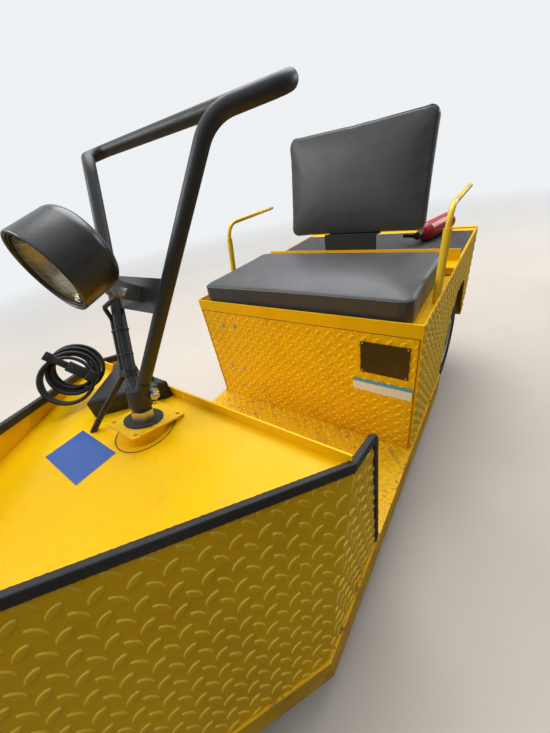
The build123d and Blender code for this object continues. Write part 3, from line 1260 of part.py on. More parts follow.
VALVE_LENGTH = 30.0
VALVE_PLANE = Plane(origin=BOTTLE_NECK, x_dir=(0, 0, 1), z_dir=-BOTTLE_DIR)
with BuildPart() as extinguisher_valve:
    with BuildSketch(VALVE_PLANE):
        Circle(NECK_RADIUS + 2)
    extrude(amount=VALVE_LENGTH)
    with BuildSketch(VALVE_PLANE.offset(VALVE_LENGTH)):
        with Locations((0, 22)):
            Rectangle(14, 80)
    extrude(amount=5)
    with BuildSketch(VALVE_PLANE.offset(VALVE_LENGTH - 14)):
        with Locations((0, 28)):
            Rectangle(14, 66)
    extrude(amount=5)
write(extinguisher_valve.part, "extinguisher_valve", BLACK)

# Instrument console on the front deck, behind the steering head
with BuildPart() as dash_console:
    with BuildSketch(Plane.XY.offset(DECK_Z)):
        Polygon(*CONSOLE_CORNERS, align=None)
    extrude(amount=CONSOLE_HEIGHT)
    chamfer(dash_console.faces().sort_by(Axis.Z)[-1].edges(), 4)
    with BuildSketch(Plane.XY.offset(DECK_Z + CONSOLE_HEIGHT)):
        with Locations(KNOB_PLACE):
            Circle(KNOB_RADIUS)
    extrude(amount=KNOB_HEIGHT)
write(dash_console.part, "dash_console", BLACK)

# Charger cord: the hank, leaning with its lower rim on the deck
COIL_NORMAL = Vector(*COIL_FACING).normalized()
COIL_ROUNDING = 10.0
COIL_STEEP = (1 - COIL_NORMAL.Z**2) ** 0.5
COIL_RIM = (COIL_OUTER - COIL_ROUNDING) * COIL_STEEP + (COIL_THICK / 2 - COIL_ROUNDING) * COIL_NORMAL.Z
COIL_Z = DECK_Z + SEAT_GAP + COIL_RIM + COIL_ROUNDING
COIL_PLANE = Plane(origin=(*COIL_PLACE, COIL_Z), z_dir=COIL_NORMAL)
with BuildPart() as charger_coil:
    with BuildSketch(COIL_PLANE.offset(-COIL_THICK / 2)):
        Circle(COIL_OUTER)
        Circle(COIL_INNER, mode=Mode.SUBTRACT)
    extrude(amount=COIL_THICK)
    fillet(charger_coil.edges().filter_by(GeomType.CIRCLE), COIL_ROUNDING)
write(charger_coil.part, "charger_coil", BLACK)

# Steering cable: a sleeve from below the bar's foot down through the deck
SLEEVE_RADIUS = 6.0
SLEEVE_ROUTE = (
    Vector(524.0, -47.0, FLOOR_Z + 557),
    Vector(566.0, -79.0, FLOOR_Z + 508),
    Vector(607.0, -121.0, FLOOR_Z + 446),
)
SLEEVE_RUNS = [b - a for a, b in zip(SLEEVE_ROUTE, SLEEVE_ROUTE[1:])]
SLEEVE_TURN = radians(SLEEVE_RUNS[0].get_angle(SLEEVE_RUNS[1]))
SLEEVE_BEND = 0.45 * min(run.length for run in SLEEVE_RUNS) / tan(SLEEVE_TURN / 2)
print("deck_cable bend radius", round(SLEEVE_BEND, 1))
with BuildPart() as deck_cable:
    with BuildLine() as sleeve_line:
        FilletPolyline(*SLEEVE_ROUTE, radius=SLEEVE_BEND)
    with BuildSketch(Plane(origin=sleeve_line.line @ 0, z_dir=sleeve_line.line % 0)):
        Circle(SLEEVE_RADIUS)
    sweep()
    split(bisect_by=Plane.XY.offset(DECK_Z), keep=Keep.TOP)
write(deck_cable.part, "deck_cable", BLACK)

# Pedals on the floor: brake and accelerator pads on their arms
PEDALS = (
    # sideways place, pad width, pad length
    (60.0, 80.0, 60.0),
    (-90.0, 50.0, 130.0),
)
with BuildPart() as pedals:
    for pedal_y, pad_width, pad_length in PEDALS:
        pad_plane = Plane(origin=(PEDAL_X, pedal_y, FLOOR_Z + 90), x_dir=(0, 1, 0), z_dir=(-0.82, 0, 0.57))
        with BuildSketch(pad_plane):
            RectangleRounded(pad_width, pad_length, 6)
        extrude(amount=-6)
        with BuildSketch(Plane.XY.offset(FLOOR_Z)):
            with Locations((PEDAL_X + 4, pedal_y)):
                Rectangle(14, 10)
        extrude(amount=88)
write(pedals.part, "pedals", BLACK)
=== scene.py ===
"""Looks of the electric utility vehicle: paint, tread plate, tyres, seat, lamp, cord and stage."""

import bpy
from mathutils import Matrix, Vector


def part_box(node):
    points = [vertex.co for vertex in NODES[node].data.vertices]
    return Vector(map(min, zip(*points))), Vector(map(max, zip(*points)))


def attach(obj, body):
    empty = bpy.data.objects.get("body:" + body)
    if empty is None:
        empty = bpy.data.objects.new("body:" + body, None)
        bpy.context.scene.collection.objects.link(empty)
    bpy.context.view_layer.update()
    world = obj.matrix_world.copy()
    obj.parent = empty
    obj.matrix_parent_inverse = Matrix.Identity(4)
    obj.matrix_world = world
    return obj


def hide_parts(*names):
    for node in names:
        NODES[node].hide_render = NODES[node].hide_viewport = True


bl_info = {
    "name": "Electric Utility Vehicle",
    "version": (1, 0, 0),
    "blender": (4, 5, 0),
    "location": "View3D > Sidebar > Vehicle",
    "description": "Dresses the packed utility vehicle with paint, tread plate, tyres and upholstery",
    "category": "Object",
}

import math

import bmesh
import bpy
from bpy.props import FloatProperty, IntProperty, PointerProperty
from mathutils import Matrix, Vector

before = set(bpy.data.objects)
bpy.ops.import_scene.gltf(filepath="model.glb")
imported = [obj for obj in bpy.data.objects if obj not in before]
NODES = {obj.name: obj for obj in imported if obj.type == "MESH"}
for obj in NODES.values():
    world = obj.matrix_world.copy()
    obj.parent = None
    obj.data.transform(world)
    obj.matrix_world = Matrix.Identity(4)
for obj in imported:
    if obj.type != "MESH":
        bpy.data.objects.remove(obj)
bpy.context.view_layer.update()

# Places of the frame that several pieces share, in metres
GROUND_TO_FLOOR = 0.200
DECK_Z = GROUND_TO_FLOOR + 0.454
SEAT_FACE_X = -0.035
BULKHEAD_X = 0.431
STEER_POINT = Vector((0.531, 0.0, DECK_Z + 0.031))
RAKE = math.radians(15)
STEER_AXIS = Vector((-math.sin(RAKE), 0.0, math.cos(RAKE)))
WHEELS = (
    # tyre node, body, axle point
    ("front_tyre", "front_wheel", (0.65841, 0.0, 0.2095)),
    ("rear_tyre_left", "rear_wheel_left", (-0.755, 0.357, 0.2095)),
    ("rear_tyre_right", "rear_wheel_right", (-0.755, -0.357, 0.2095)),
)
YELLOW = (0.92, 0.535, 0.0015)


def assign(item, **settings):
    """Give an item several settings, and hand it back."""
    for key, value in settings.items():
        setattr(item, key, value)
    return item


def add_object(name, data):
    """New object at the origin, in the scene."""
    obj = bpy.data.objects.new(name, data)
    bpy.context.scene.collection.objects.link(obj)
    return obj


# Materials


class Tree:
    """A node tree under construction, with short calls for its nodes."""

    def __init__(self, owner):
        owner.use_nodes = True
        self.nodes = owner.node_tree.nodes
        self.links = owner.node_tree.links

    def node(self, kind, settings=None, **inputs):
        """A new node with its settings, and its inputs set or linked."""
        made = assign(self.nodes.new(kind), **(settings or {}))
        for key, value in inputs.items():
            socket = made.inputs[int(key[1:])] if key[1:].isdigit() else made.inputs[key.replace("_", " ")]
            if isinstance(value, bpy.types.NodeSocket):
                self.links.new(value, socket)
            else:
                socket.default_value = value
        return made

    def band(self, value, low, high, to_low=0.0, to_high=1.0):
        """Value stretched from one range to another, and held within it."""
        return self.node(
            "ShaderNodeMapRange", x0=value, x1=low, x2=high, x3=to_low, x4=to_high
        ).outputs[0]

    def times(self, first, second, operation="MULTIPLY"):
        """Two values put together by one operation."""
        return self.node("ShaderNodeMath", {"operation": operation}, x0=first, x1=second).outputs[0]


class Look(Tree):
    """A material under construction."""

    def __init__(self, name, colour, roughness, **sockets):
        self.material = bpy.data.materials.new(name)
        super().__init__(self.material)
        self.shader = self.nodes["Principled BSDF"]
        self.shader.inputs["Base Color"].default_value = (*colour, 1)
        self.shader.inputs["Roughness"].default_value = roughness
        for key, value in sockets.items():
            self.shader.inputs[key.replace("_", " ").title().replace("Ior", "IOR")].default_value = value
        self.normal = None
        self.place = self.node("ShaderNodeTexCoord").outputs["Object"]

    def noise(self, scale, detail=3.0, rough=0.55, stretch=None, warp=0.0):
        """Noise over the object's own coordinates."""
        place = self.place
        if stretch:
            place = self.node("ShaderNodeMapping", Vector=place, Scale=stretch).outputs[0]
        return self.node(
            "ShaderNodeTexNoise", Vector=place, Scale=scale, Detail=detail, Roughness=rough, Distortion=warp
        ).outputs["Fac"]

    def cells(self, scale):
        """Distance to the nearest cell point."""
        return self.node("ShaderNodeTexVoronoi", Vector=self.place, Scale=scale).outputs["Distance"]

    def along(self, axis):
        """One coordinate of the object's own place."""
        return self.node("ShaderNodeSeparateXYZ", x0=self.place).outputs[axis]

    def tint(self, fac, colour):
        """Lay a colour over the base colour where fac is high."""
        base = self.shader.inputs["Base Color"]
        below = base.links[0].from_socket if base.is_linked else tuple(base.default_value)
        mixed = self.node("ShaderNodeMix", {"data_type": "RGBA"}, x0=fac, x6=below, x7=(*colour, 1))
        self.links.new(mixed.outputs[2], base)

    def patches(self, scale, detail, low, high, amount, colour, warp=0.0):
        """Lay a colour over the base colour in soft patches."""
        self.tint(self.band(self.noise(scale, detail, warp=warp), low, high, 0.0, amount), colour)

    def gloss(self, fac, rough, worn):
        """Roughness that runs from one value to another with fac."""
        self.links.new(self.band(fac, 0, 1, rough, worn), self.shader.inputs["Roughness"])

    def bump(self, height, depth, strength):
        """Add a relief of that depth in metres to the surface."""
        relief = self.node("ShaderNodeBump", Strength=strength, Distance=depth, Height=height)
        if self.normal:
            self.links.new(self.normal, relief.inputs["Normal"])
        self.normal = relief.outputs[0]
        self.links.new(self.normal, self.shader.inputs["Normal"])

    def grain(self, scale, detail, depth, strength):
        """Add a relief of noise to the surface."""
        self.bump(self.noise(scale, detail), depth, strength)


def yellow_paint(name, colour=YELLOW, dirt=0.3, specks=0.0, roughness=0.36, low_darkening=0.0, shine=0.25):
    """Yellow enamel with a faint orange peel, a dusty film, and wear where it is trodden."""
    look = Look(name, colour, roughness, specular_ior_level=shine)
    look.patches(2.3, 4.0, 0.42, 0.72, 0.5, (0.96, 0.60, 0.004))
    look.patches(7.5, 5.0, 0.5, 0.75, dirt, (0.58, 0.28, 0.010), warp=0.4)
    # Darker brown towards the bottom, in noisy patches, fading out by 0.16 m above the floor.
    if low_darkening:
        foot = look.band(look.along(2), GROUND_TO_FLOOR - 0.11, GROUND_TO_FLOOR + 0.16, 1.0, 0.0)
        film = look.times(foot, look.band(look.noise(14.0, 6.0), 0.35, 0.7))
        look.tint(look.times(film, low_darkening), (0.34, 0.19, 0.04))
    if specks:
        chips = look.band(look.noise(62.0, 6.0, 0.66), 0.565, 0.585)
        trodden = look.band(look.noise(7.0, 4.0), 0.46, 0.60)
        by_wall = look.band(look.along(0), SEAT_FACE_X + 0.12, SEAT_FACE_X, 0.0, 0.9)
        by_edge = look.band(look.along(1), 0.35, 0.43, 0.0, 0.9)
        worn = look.times(look.times(trodden, by_wall, "MAXIMUM"), by_edge, "MAXIMUM")
        look.tint(look.times(look.times(chips, worn), specks), (0.24, 0.11, 0.07))
        fine = look.band(look.noise(190.0, 2.0), 0.60, 0.64)
        look.tint(look.times(look.times(fine, worn), specks * 0.5), (0.20, 0.11, 0.04))
    look.gloss(look.band(look.noise(18.0, 4.0), 0.4, 0.7), roughness, roughness + 0.16)
    look.grain(320.0, 2.0, 0.00012, 0.5)
    look.grain(9.0, 2.0, 0.0012, 0.4)
    return look.material


def black_coat(name, colour=(0.022, 0.024, 0.026), roughness=0.42):
    """Black powder coat with a fine grain and rubbed grey patches."""
    look = Look(name, colour, roughness, specular_ior_level=0.5)
    look.patches(11.0, 5.0, 0.52, 0.75, 0.5, (0.055, 0.056, 0.055))
    look.gloss(look.noise(26.0, 3.0), roughness - 0.06, roughness + 0.12)
    look.grain(900.0, 2.0, 0.00015, 0.6)
    return look.material


def rubber(name, colour=(0.018, 0.018, 0.019), roughness=0.62, grain=500.0, shine=0.4):
    """Black rubber with a fine grain and a dusty bloom."""
    look = Look(name, colour, roughness, specular_ior_level=shine)
    look.patches(16.0, 5.0, 0.45, 0.75, 0.45, (0.075, 0.070, 0.062))
    look.gloss(look.noise(40.0, 3.0), roughness - 0.08, roughness + 0.14)
    look.grain(grain, 3.0, 0.0002, 0.6)
    return look.material


def zinc(name):
    """Zinc-plated steel with a faint yellow passivation."""
    look = Look(name, (0.60, 0.60, 0.57), 0.32, metallic=1.0)
    look.patches(60.0, 3.0, 0.45, 0.7, 0.6, (0.55, 0.49, 0.32))
    look.gloss(look.noise(120.0, 3.0), 0.24, 0.46)
    look.grain(700.0, 2.0, 0.00008, 0.5)
    return look.material


def vinyl(name):
    """Black upholstery vinyl with a leather grain, stretched smooth, with dusty patches."""
    look = Look(name, (0.030, 0.031, 0.033), 0.40, specular_ior_level=0.6, sheen_weight=0.12)
    look.patches(5.0, 4.0, 0.42, 0.75, 0.5, (0.050, 0.052, 0.054))
    look.patches(30.0, 5.0, 0.58, 0.78, 0.25, (0.11, 0.105, 0.095))
    look.gloss(look.noise(12.0, 4.0), 0.32, 0.52)
    look.bump(look.cells(620.0), 0.00022, 0.55)
    look.grain(1500.0, 2.0, 0.00008, 0.4)
    look.bump(look.noise(14.0, 2.0, stretch=(1, 0.35, 1)), 0.0016, 0.35)
    return look.material


def sticker(name, colour, second=None, split_axis=None, split_at=0.0):
    """Printed film, blank, with scuffs; a second colour fills one side of a line."""
    look = Look(name, colour, 0.34, coat_weight=0.2, coat_roughness=0.2)
    if second:
        side = look.band(look.along(split_axis), split_at - 0.0004, split_at + 0.0004)
        look.tint(side, second)
    look.patches(70.0, 5.0, 0.60, 0.78, 0.15, (0.45, 0.40, 0.32))
    look.grain(60.0, 2.0, 0.0003, 0.3)
    return look.material


def tyre_rubber(name):
    """Tyre rubber: dark, dry and dusty."""
    look = Look(name, (0.020, 0.019, 0.018), 0.78, specular_ior_level=0.3)
    look.patches(22.0, 6.0, 0.42, 0.72, 0.7, (0.095, 0.085, 0.070))
    look.grain(420.0, 3.0, 0.0003, 0.6)
    return look.material


def plain_metal(name, colour, roughness, metallic=0.0, dust=0.3):
    """Painted or bare metal with a light film of dust."""
    look = Look(name, colour, roughness, metallic=metallic)
    look.patches(20.0, 5.0, 0.48, 0.75, dust, (0.30, 0.27, 0.22))
    look.gloss(look.noise(30.0, 3.0), roughness, roughness + 0.15)
    look.grain(400.0, 2.0, 0.0001, 0.5)
    return look.material


def lens_glass(name):
    """Pressed glass, slightly wavy and dusty."""
    look = Look(name, (0.92, 0.94, 0.95), 0.06, transmission_weight=1.0, ior=1.46)
    look.patches(25.0, 4.0, 0.5, 0.75, 0.3, (0.62, 0.60, 0.54))
    look.grain(90.0, 2.0, 0.0006, 0.5)
    return look.material


def ribbed_mat(name):
    """Ribbed rubber matting, worn grey and gritty."""
    look = Look(name, (0.030, 0.030, 0.031), 0.8)
    look.patches(70.0, 6.0, 0.45, 0.7, 0.6, (0.14, 0.13, 0.12))
    wave = look.node("ShaderNodeTexWave", {"bands_direction": "X"}, Vector=look.place, Scale=60.0)
    look.bump(wave.outputs["Fac"], 0.0012, 0.7)
    return look.material


MATERIALS = {}
LOOKS = {
    # name: (maker, keyword values)
    "plate": (yellow_paint, {"dirt": 0.32, "low_darkening": 0.5, "shine": 0.14}),
    "lug": (yellow_paint, {"dirt": 0.20, "roughness": 0.30, "low_darkening": 0.35, "shine": 0.18}),
    # Lighter yellow on the lugs' rims is a painted highlight, standing in for light caught by their sloping
    # edges.
    "lug_rim": (yellow_paint, {"colour": (1.0, 0.74, 0.05), "dirt": 0.06, "roughness": 0.26, "shine": 0.6}),
    "floor": (yellow_paint, {"dirt": 0.45, "specks": 0.85, "roughness": 0.42}),
    "floor_lug": (yellow_paint, {"dirt": 0.25, "specks": 0.45, "roughness": 0.36}),
    "deck": (yellow_paint, {"dirt": 0.12, "specks": 0.06, "roughness": 0.25, "shine": 0.16}),
    "smooth": (yellow_paint, {"dirt": 0.22, "specks": 0.4, "low_darkening": 0.7}),
    # Brighter, more orange yellow than the body's paint: a painted highlight on the hip restraints' tubes.
    "hoop": (yellow_paint, {"colour": (1.0, 0.62, 0.01), "dirt": 0.10, "roughness": 0.24, "shine": 0.7}),
    "bar": (black_coat, {}),
    "chassis_black": (black_coat, {"colour": (0.016, 0.016, 0.017), "roughness": 0.55}),
    "trim": (rubber, {"roughness": 0.55}),
    "bucket": (rubber, {"colour": (0.016, 0.019, 0.022), "roughness": 0.26, "grain": 900.0, "shine": 0.9}),
    "cord": (rubber, {"colour": (0.020, 0.021, 0.022), "roughness": 0.42, "grain": 900.0}),
    "case": (rubber, {"colour": (0.016, 0.016, 0.017), "roughness": 0.40, "grain": 1400.0}),
    "zinc": (zinc, {}),
    "tyre": (tyre_rubber, {}),
    "rim": (plain_metal, {"colour": (0.72, 0.69, 0.60), "roughness": 0.38}),
    "mat": (ribbed_mat, {}),
    "vinyl": (vinyl, {}),
    "bottle": (plain_metal, {"colour": (0.45, 0.015, 0.02), "roughness": 0.22, "dust": 0.12}),
    "bare": (plain_metal, {"colour": (0.70, 0.70, 0.70), "roughness": 0.2, "metallic": 1.0, "dust": 0.1}),
    "reflector": (plain_metal, {
        "colour": (0.86, 0.80, 0.56), "roughness": 0.14, "metallic": 1.0, "dust": 0.1,
    }),
    "flute": (plain_metal, {"colour": (0.16, 0.15, 0.09), "roughness": 0.25, "dust": 0.2}),
    "glass": (lens_glass, {}),
    "data_plate": (sticker, {"colour": (0.014, 0.011, 0.009)}),
    "sealant": (rubber, {"colour": (0.10, 0.055, 0.02), "roughness": 0.7}),
    # Dark brown strips drawn as painted shadow under the seat box's lip and down its side edges.
    "seam_dirt": (rubber, {"colour": (0.26, 0.11, 0.01), "roughness": 0.7}),
    "blue_film": (sticker, {"colour": (0.022, 0.09, 0.36)}),
    "two_tone": (sticker, {
        "colour": (0.86, 0.89, 0.86),
        "second": (0.05, 0.42, 0.62),
        "split_axis": 2,
        "split_at": GROUND_TO_FLOOR + 0.246,
    }),
}
NODE_LOOKS = {
    # look: CAD nodes that wear it
    "plate": "apron_left apron_right apron_nose seat_box_front side_panel_left side_panel_right rear_panel "
    "bulkhead",
    "floor": "floor_plate",
    "deck": "front_deck rear_deck seat_lid",
    "smooth": "perimeter_rail steering_head",
    "hoop": "hip_restraints",
    "bar": "handlebar lamp_plate backrest_bracket pedals",
    "chassis_black": "frame_rails steering_fork rear_axle drive_motor leaf_springs battery_pack",
    "trim": "edge_trim",
    "bucket": "lamp_bucket",
    "case": "dash_console extinguisher_valve",
    "zinc": "stem_nut lamp_bracket",
    "tyre": "front_tyre rear_tyre_left rear_tyre_right",
    "rim": "front_rim rear_rim_left rear_rim_right",
    "mat": "deck_mat",
    "vinyl": "cushion backrest",
    "bottle": "extinguisher_bottle",
    "cord": "charger_coil lamp_harness deck_cable",
    "glass": "lamp_lens",
}
BEVELS = {
    # width in metres: CAD nodes
    0.0008: "seat_box_front side_panel_left side_panel_right lamp_plate",
    0.001: "front_deck",
    0.0012: "steering_head handlebar",
    0.0015: "pedals backrest_bracket",
    0.002: "perimeter_rail dash_console",
}


# Mesh helpers

WASHER_THICK = 0.0012
THREAD_PITCH = 0.0015


def finish_mesh(name, mesh, look, body, smooth=True, crisp=None):
    """Turn a bmesh into an object that wears a look and rides a body."""
    data = bpy.data.meshes.new(name)
    bmesh.ops.recalc_face_normals(mesh, faces=mesh.faces)
    mesh.to_mesh(data)
    mesh.free()
    obj = add_object(name, data)
    data.materials.append(MATERIALS[look])
    data.polygons.foreach_set("use_smooth", [smooth] * len(data.polygons))
    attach(obj, body)
    if crisp:
        split_edges(obj, crisp)
    return obj


def split_edges(obj, angle):
    """Keep edges sharper than an angle in degrees crisp under smooth shading."""
    mesh = bmesh.new()
    mesh.from_mesh(obj.data)
    for edge in mesh.edges:
        if len(edge.link_faces) == 2 and edge.calc_face_angle(0) > math.radians(angle):
            edge.smooth = False
    mesh.to_mesh(obj.data)
    mesh.free()


def basis(origin, across, out):
    """Matrix with its x along across and its z along out, at an origin."""
    out = Vector(out).normalized()
    across = (Vector(across) - out * Vector(across).dot(out)).normalized()
    side = out.cross(across)
    matrix = Matrix((across, side, out)).transposed().to_4x4()
    matrix.translation = Vector(origin)
    return matrix


def add_revolved(mesh, profile, matrix, segments):
    """Surface of revolution of (radius, height) pairs about the matrix's z axis."""
    known = len(mesh.verts)
    line = [mesh.verts.new(matrix @ Vector((radius, 0, height))) for radius, height in profile]
    edges = [mesh.edges.new(pair) for pair in zip(line, line[1:])]
    bmesh.ops.spin(
        mesh, geom=line + edges, cent=matrix.translation, axis=matrix.col[2].to_3d(), angle=math.tau,
        steps=segments, use_merge=True,
    )
    bmesh.ops.remove_doubles(mesh, verts=list(mesh.verts)[known:], dist=1e-6)


def soften_block(mesh, block, width):
    """Round every edge of a block that an operator has made."""
    edges = list({edge for vert in block["verts"] for edge in vert.link_edges})
    bmesh.ops.bevel(
        mesh, geom=edges, offset=width, segments=3, affect="EDGES", profile=0.5, material=-1
    )


def add_bolt(mesh, point, out, flats, height, washer, thread=0.0):
    """Hexagon head with a washer under it and, if asked, a thread's end standing out."""
    place = basis(point, (0.37, 0.61, 0.7), out)
    rim = [(0, 0), (washer, 0), (washer, WASHER_THICK), (flats * 0.4, WASHER_THICK + 0.0003)]
    add_revolved(mesh, rim, place, 28)
    corner = flats / math.sqrt(3)
    head = bmesh.ops.create_cone(
        mesh, cap_ends=True, segments=6, radius1=corner, radius2=corner, depth=height,
        matrix=place @ Matrix.Translation((0, 0, WASHER_THICK + height / 2)),
    )
    soften_block(mesh, head, flats * 0.05)
    if thread:
        profile = [(0, 0)]
        for step in range(int(thread / THREAD_PITCH)):
            rise = step * THREAD_PITCH
            profile += [(flats * 0.31, rise), (flats * 0.27, rise + 0.0008)]
        profile.append((0, thread))
        add_revolved(mesh, profile, place @ Matrix.Translation((0, 0, height)), 18)


def add_plate(mesh, corners, out, thick):
    """Thin closed plate on four corners, raised along out."""
    base = mesh.faces.new([mesh.verts.new(corner) for corner in corners])
    raised = bmesh.ops.extrude_face_region(mesh, geom=[base], use_keep_orig=True)
    top = [item for item in raised["geom"] if isinstance(item, bmesh.types.BMVert)]
    bmesh.ops.translate(mesh, verts=top, vec=Vector(out).normalized() * thick)


def add_wall_plate(mesh, x, low, high, thick):
    """Thin plate on a wall that looks forward, from its lowest to its highest (y, z)."""
    corners = ((x, low[0], low[1]), (x, high[0], low[1]), (x, high[0], high[1]), (x, low[0], high[1]))
    add_plate(mesh, corners, (1, 0, 0), thick)


def add_skin(mesh, rings, closed=False):
    """Faces between rings of vertices, capped at both ends unless they close on themselves."""
    for here, there in zip(rings, rings[1:] + rings[:1] if closed else rings[1:]):
        for step in range(len(here)):
            after = (step + 1) % len(here)
            mesh.faces.new((here[step], here[after], there[after], there[step]))
    if not closed:
        mesh.faces.new(list(reversed(rings[0])))
        mesh.faces.new(rings[-1])


def circle(place, radius, height, steps):
    """Points of a circle about the z axis of a place."""
    turns = (math.tau * step / steps for step in range(steps))
    return [place @ Vector((radius * math.cos(turn), radius * math.sin(turn), height)) for turn in turns]


# Tread plate


class Region:
    """Flat outer faces of a CAD node that look one way, as triangles in their own plane."""

    def __init__(self, node, out, across, limits=None):
        data = NODES[node].data
        out = Vector(out).normalized()
        faces = [p for p in data.polygons if p.normal.dot(out) > 0.9995]
        areas = {}
        for face in faces:
            level = round(data.vertices[face.vertices[0]].co.dot(out) / 0.0005)
            areas[level] = areas.get(level, 0.0) + face.area
        reach = max(areas, key=areas.get) * 0.0005
        faces = [p for p in faces if abs(reach - data.vertices[p.vertices[0]].co.dot(out)) < 0.0006]
        reach = sum(data.vertices[p.vertices[0]].co.dot(out) for p in faces) / len(faces)
        self.matrix = basis(out * reach, across, out)
        inverse = self.matrix.inverted()
        self.triangles = []
        for face in faces:
            points = [(inverse @ data.vertices[i].co).to_2d() for i in face.vertices]
            for second in range(1, len(points) - 1):
                self.triangles.append((points[0], points[second], points[second + 1]))
        flat = [p for triangle in self.triangles for p in triangle]
        self.low = Vector((min(p.x for p in flat), min(p.y for p in flat)))
        self.high = Vector((max(p.x for p in flat), max(p.y for p in flat)))
        self.limits = limits

    def holds(self, point):
        """Whether a flat point lies in one of the triangles, and within the limits in space."""
        if self.limits:
            place = self.matrix @ Vector((point.x, point.y, 0))
            low, high = self.limits
            if any(place[i] < low[i] or place[i] > high[i] for i in range(3)):
                return False
        for a, b, c in self.triangles:
            first = (b - a).cross(point - a)
            second = (c - b).cross(point - b)
            third = (a - c).cross(point - c)
            if min(first, second, third) >= -1e-9 or max(first, second, third) <= 1e-9:
                return True
        return False


LUG_SIDES = 14
LUG_FOOT = -0.0002
LUG_POINT = 1.35
LUG_CUT_STEPS = 7
LUG_RINGS = (
    # scale, share of the height; the foot is a little under the plate
    (1.0, 0.0), (0.93, 0.60), (0.84, 0.93), (0.74, 1.0),
)


def lug_shape(length, width, height):
    """Rings of one raised lug in its own plane, from its foot to its crest, pointed at both ends."""
    rings = []
    for scale, rise in LUG_RINGS:
        ring = []
        for step in range(LUG_SIDES):
            turn = math.tau * step / LUG_SIDES
            across = math.sin(turn)
            narrow = abs(across) ** LUG_POINT * math.copysign(1, across)
            ring.append(Vector((
                math.cos(turn) * length / 2 * scale,
                narrow * (width / 2 - (1 - scale) * length * 0.36),
                rise * height if rise else LUG_FOOT,
            )))
        rings.append(ring)
    return rings


def add_lugs(mesh, region, settings, turn, size):
    """Cover a region with crossed lugs, those at its edges cut off there."""
    pitch = settings.lug_pitch * size
    rings = lug_shape(settings.lug_length * size, settings.lug_width * size, settings.lug_height)
    spin = Matrix.Rotation(turn, 2)
    middle = (region.low + region.high) / 2
    reach = int((region.high - region.low).length / pitch / 1.3) + 2
    for row in range(-reach, reach + 1):
        for column in range(-reach, reach + 1):
            for shift, lean in ((0.0, math.pi / 4), (0.5, -math.pi / 4)):
                place = spin @ Vector(((column + shift) * pitch, (row + shift) * pitch)) + middle
                if not region.holds(place):
                    continue
                add_lug(mesh, region, rings, place, lean + turn)


def add_lug(mesh, region, rings, place, lean):
    """One lug; points past the plate's edge are drawn back to it."""
    tilt = Matrix.Rotation(lean, 2)
    made = []
    for ring in rings:
        verts = []
        for point in ring:
            flat = tilt @ point.to_2d()
            share = 1.0
            if not region.holds(place + flat):
                low, high = 0.0, 1.0
                for _ in range(LUG_CUT_STEPS):
                    half = (low + high) / 2
                    low, high = (half, high) if region.holds(place + flat * half) else (low, half)
                share = low
            flat = place + flat * share
            verts.append(mesh.verts.new(region.matrix @ Vector((flat.x, flat.y, point.z))))
        made.append(verts)
    for level, (inner, outer) in enumerate(zip(made[1:], made)):
        for index in range(len(inner)):
            after = (index + 1) % len(inner)
            face = mesh.faces.new((outer[index], outer[after], inner[after], inner[index]))
            # The two lowest bands, foot to shoulder, take the second slot: the painted highlight on each
            # lug's rim.
            face.material_index = 1 if level < 2 else 0
    mesh.faces.new(made[-1])


HALF_WIDTH = 0.4318
NOSE_HALF = 0.156
NOSE_X = 1.065
BEND_X = 0.593
LEAN = math.radians(9.9)
PLAN = math.atan2(HALF_WIDTH - NOSE_HALF, NOSE_X - BEND_X)
FRONT_OUT = (math.sin(PLAN) * math.cos(LEAN), math.cos(PLAN) * math.cos(LEAN), math.sin(LEAN))
NOSE_OUT = (math.cos(LEAN), 0, math.sin(LEAN))
FRONT_DOWN = (math.cos(PLAN), -math.sin(PLAN), 0)
FOOT_SPACE = ((SEAT_FACE_X, -0.44, 0.0), (BULKHEAD_X, 0.44, 1.0))
LIP_Z = GROUND_TO_FLOOR + 0.430
TREAD_LEFT = (
    # piece, CAD node, outward, across, turn in degrees, size of the lugs, limits, look
    ("tread_apron_left_front", "apron_left", FRONT_OUT, FRONT_DOWN, -12.0, 1.2, None, "lug"),
    ("tread_apron_left_wing", "apron_left", (0, 1, 0), (1, 0, 0), 12.0, 1.2, None, "lug"),
    ("tread_side_left", "side_panel_left", (0, 1, 0), (1, 0, 0), 0.0, 1.0,
     ((-2, -1, 0.0), (1, 1, 0.668)), "lug"),
)
TREAD_MIDDLE = (
    ("tread_nose", "apron_nose", NOSE_OUT, (0, 1, 0), 0.0, 1.2, None, "lug"),
    ("tread_seat_box", "seat_box_front", (1, 0, 0), (0, 1, 0), 0.0, 1.0,
     ((-1, -0.416, 0.0), (1, 0.416, LIP_Z - 0.004)), "lug"),
    ("tread_rear", "rear_panel", (-1, 0, 0), (0, 1, 0), 0.0, 1.0, None, "lug"),
    ("tread_bulkhead", "bulkhead", (-1, 0, 0), (0, 1, 0), 0.0, 1.0, None, "lug"),
    ("tread_floor", "floor_plate", (0, 0, 1), (1, 0, 0), 0.0, 1.0, FOOT_SPACE, "floor_lug"),
)


def mirrored(name, node, out, across, turn, *others):
    """The right side's row for a left row of the tread table."""
    names = [word.replace("left", "right") for word in (name, node)]
    return (*names, (out[0], -out[1], out[2]), (across[0], -across[1], across[2]), -turn, *others)


TREAD = (*TREAD_LEFT, *(mirrored(*row) for row in TREAD_LEFT), *TREAD_MIDDLE)


# Tyres


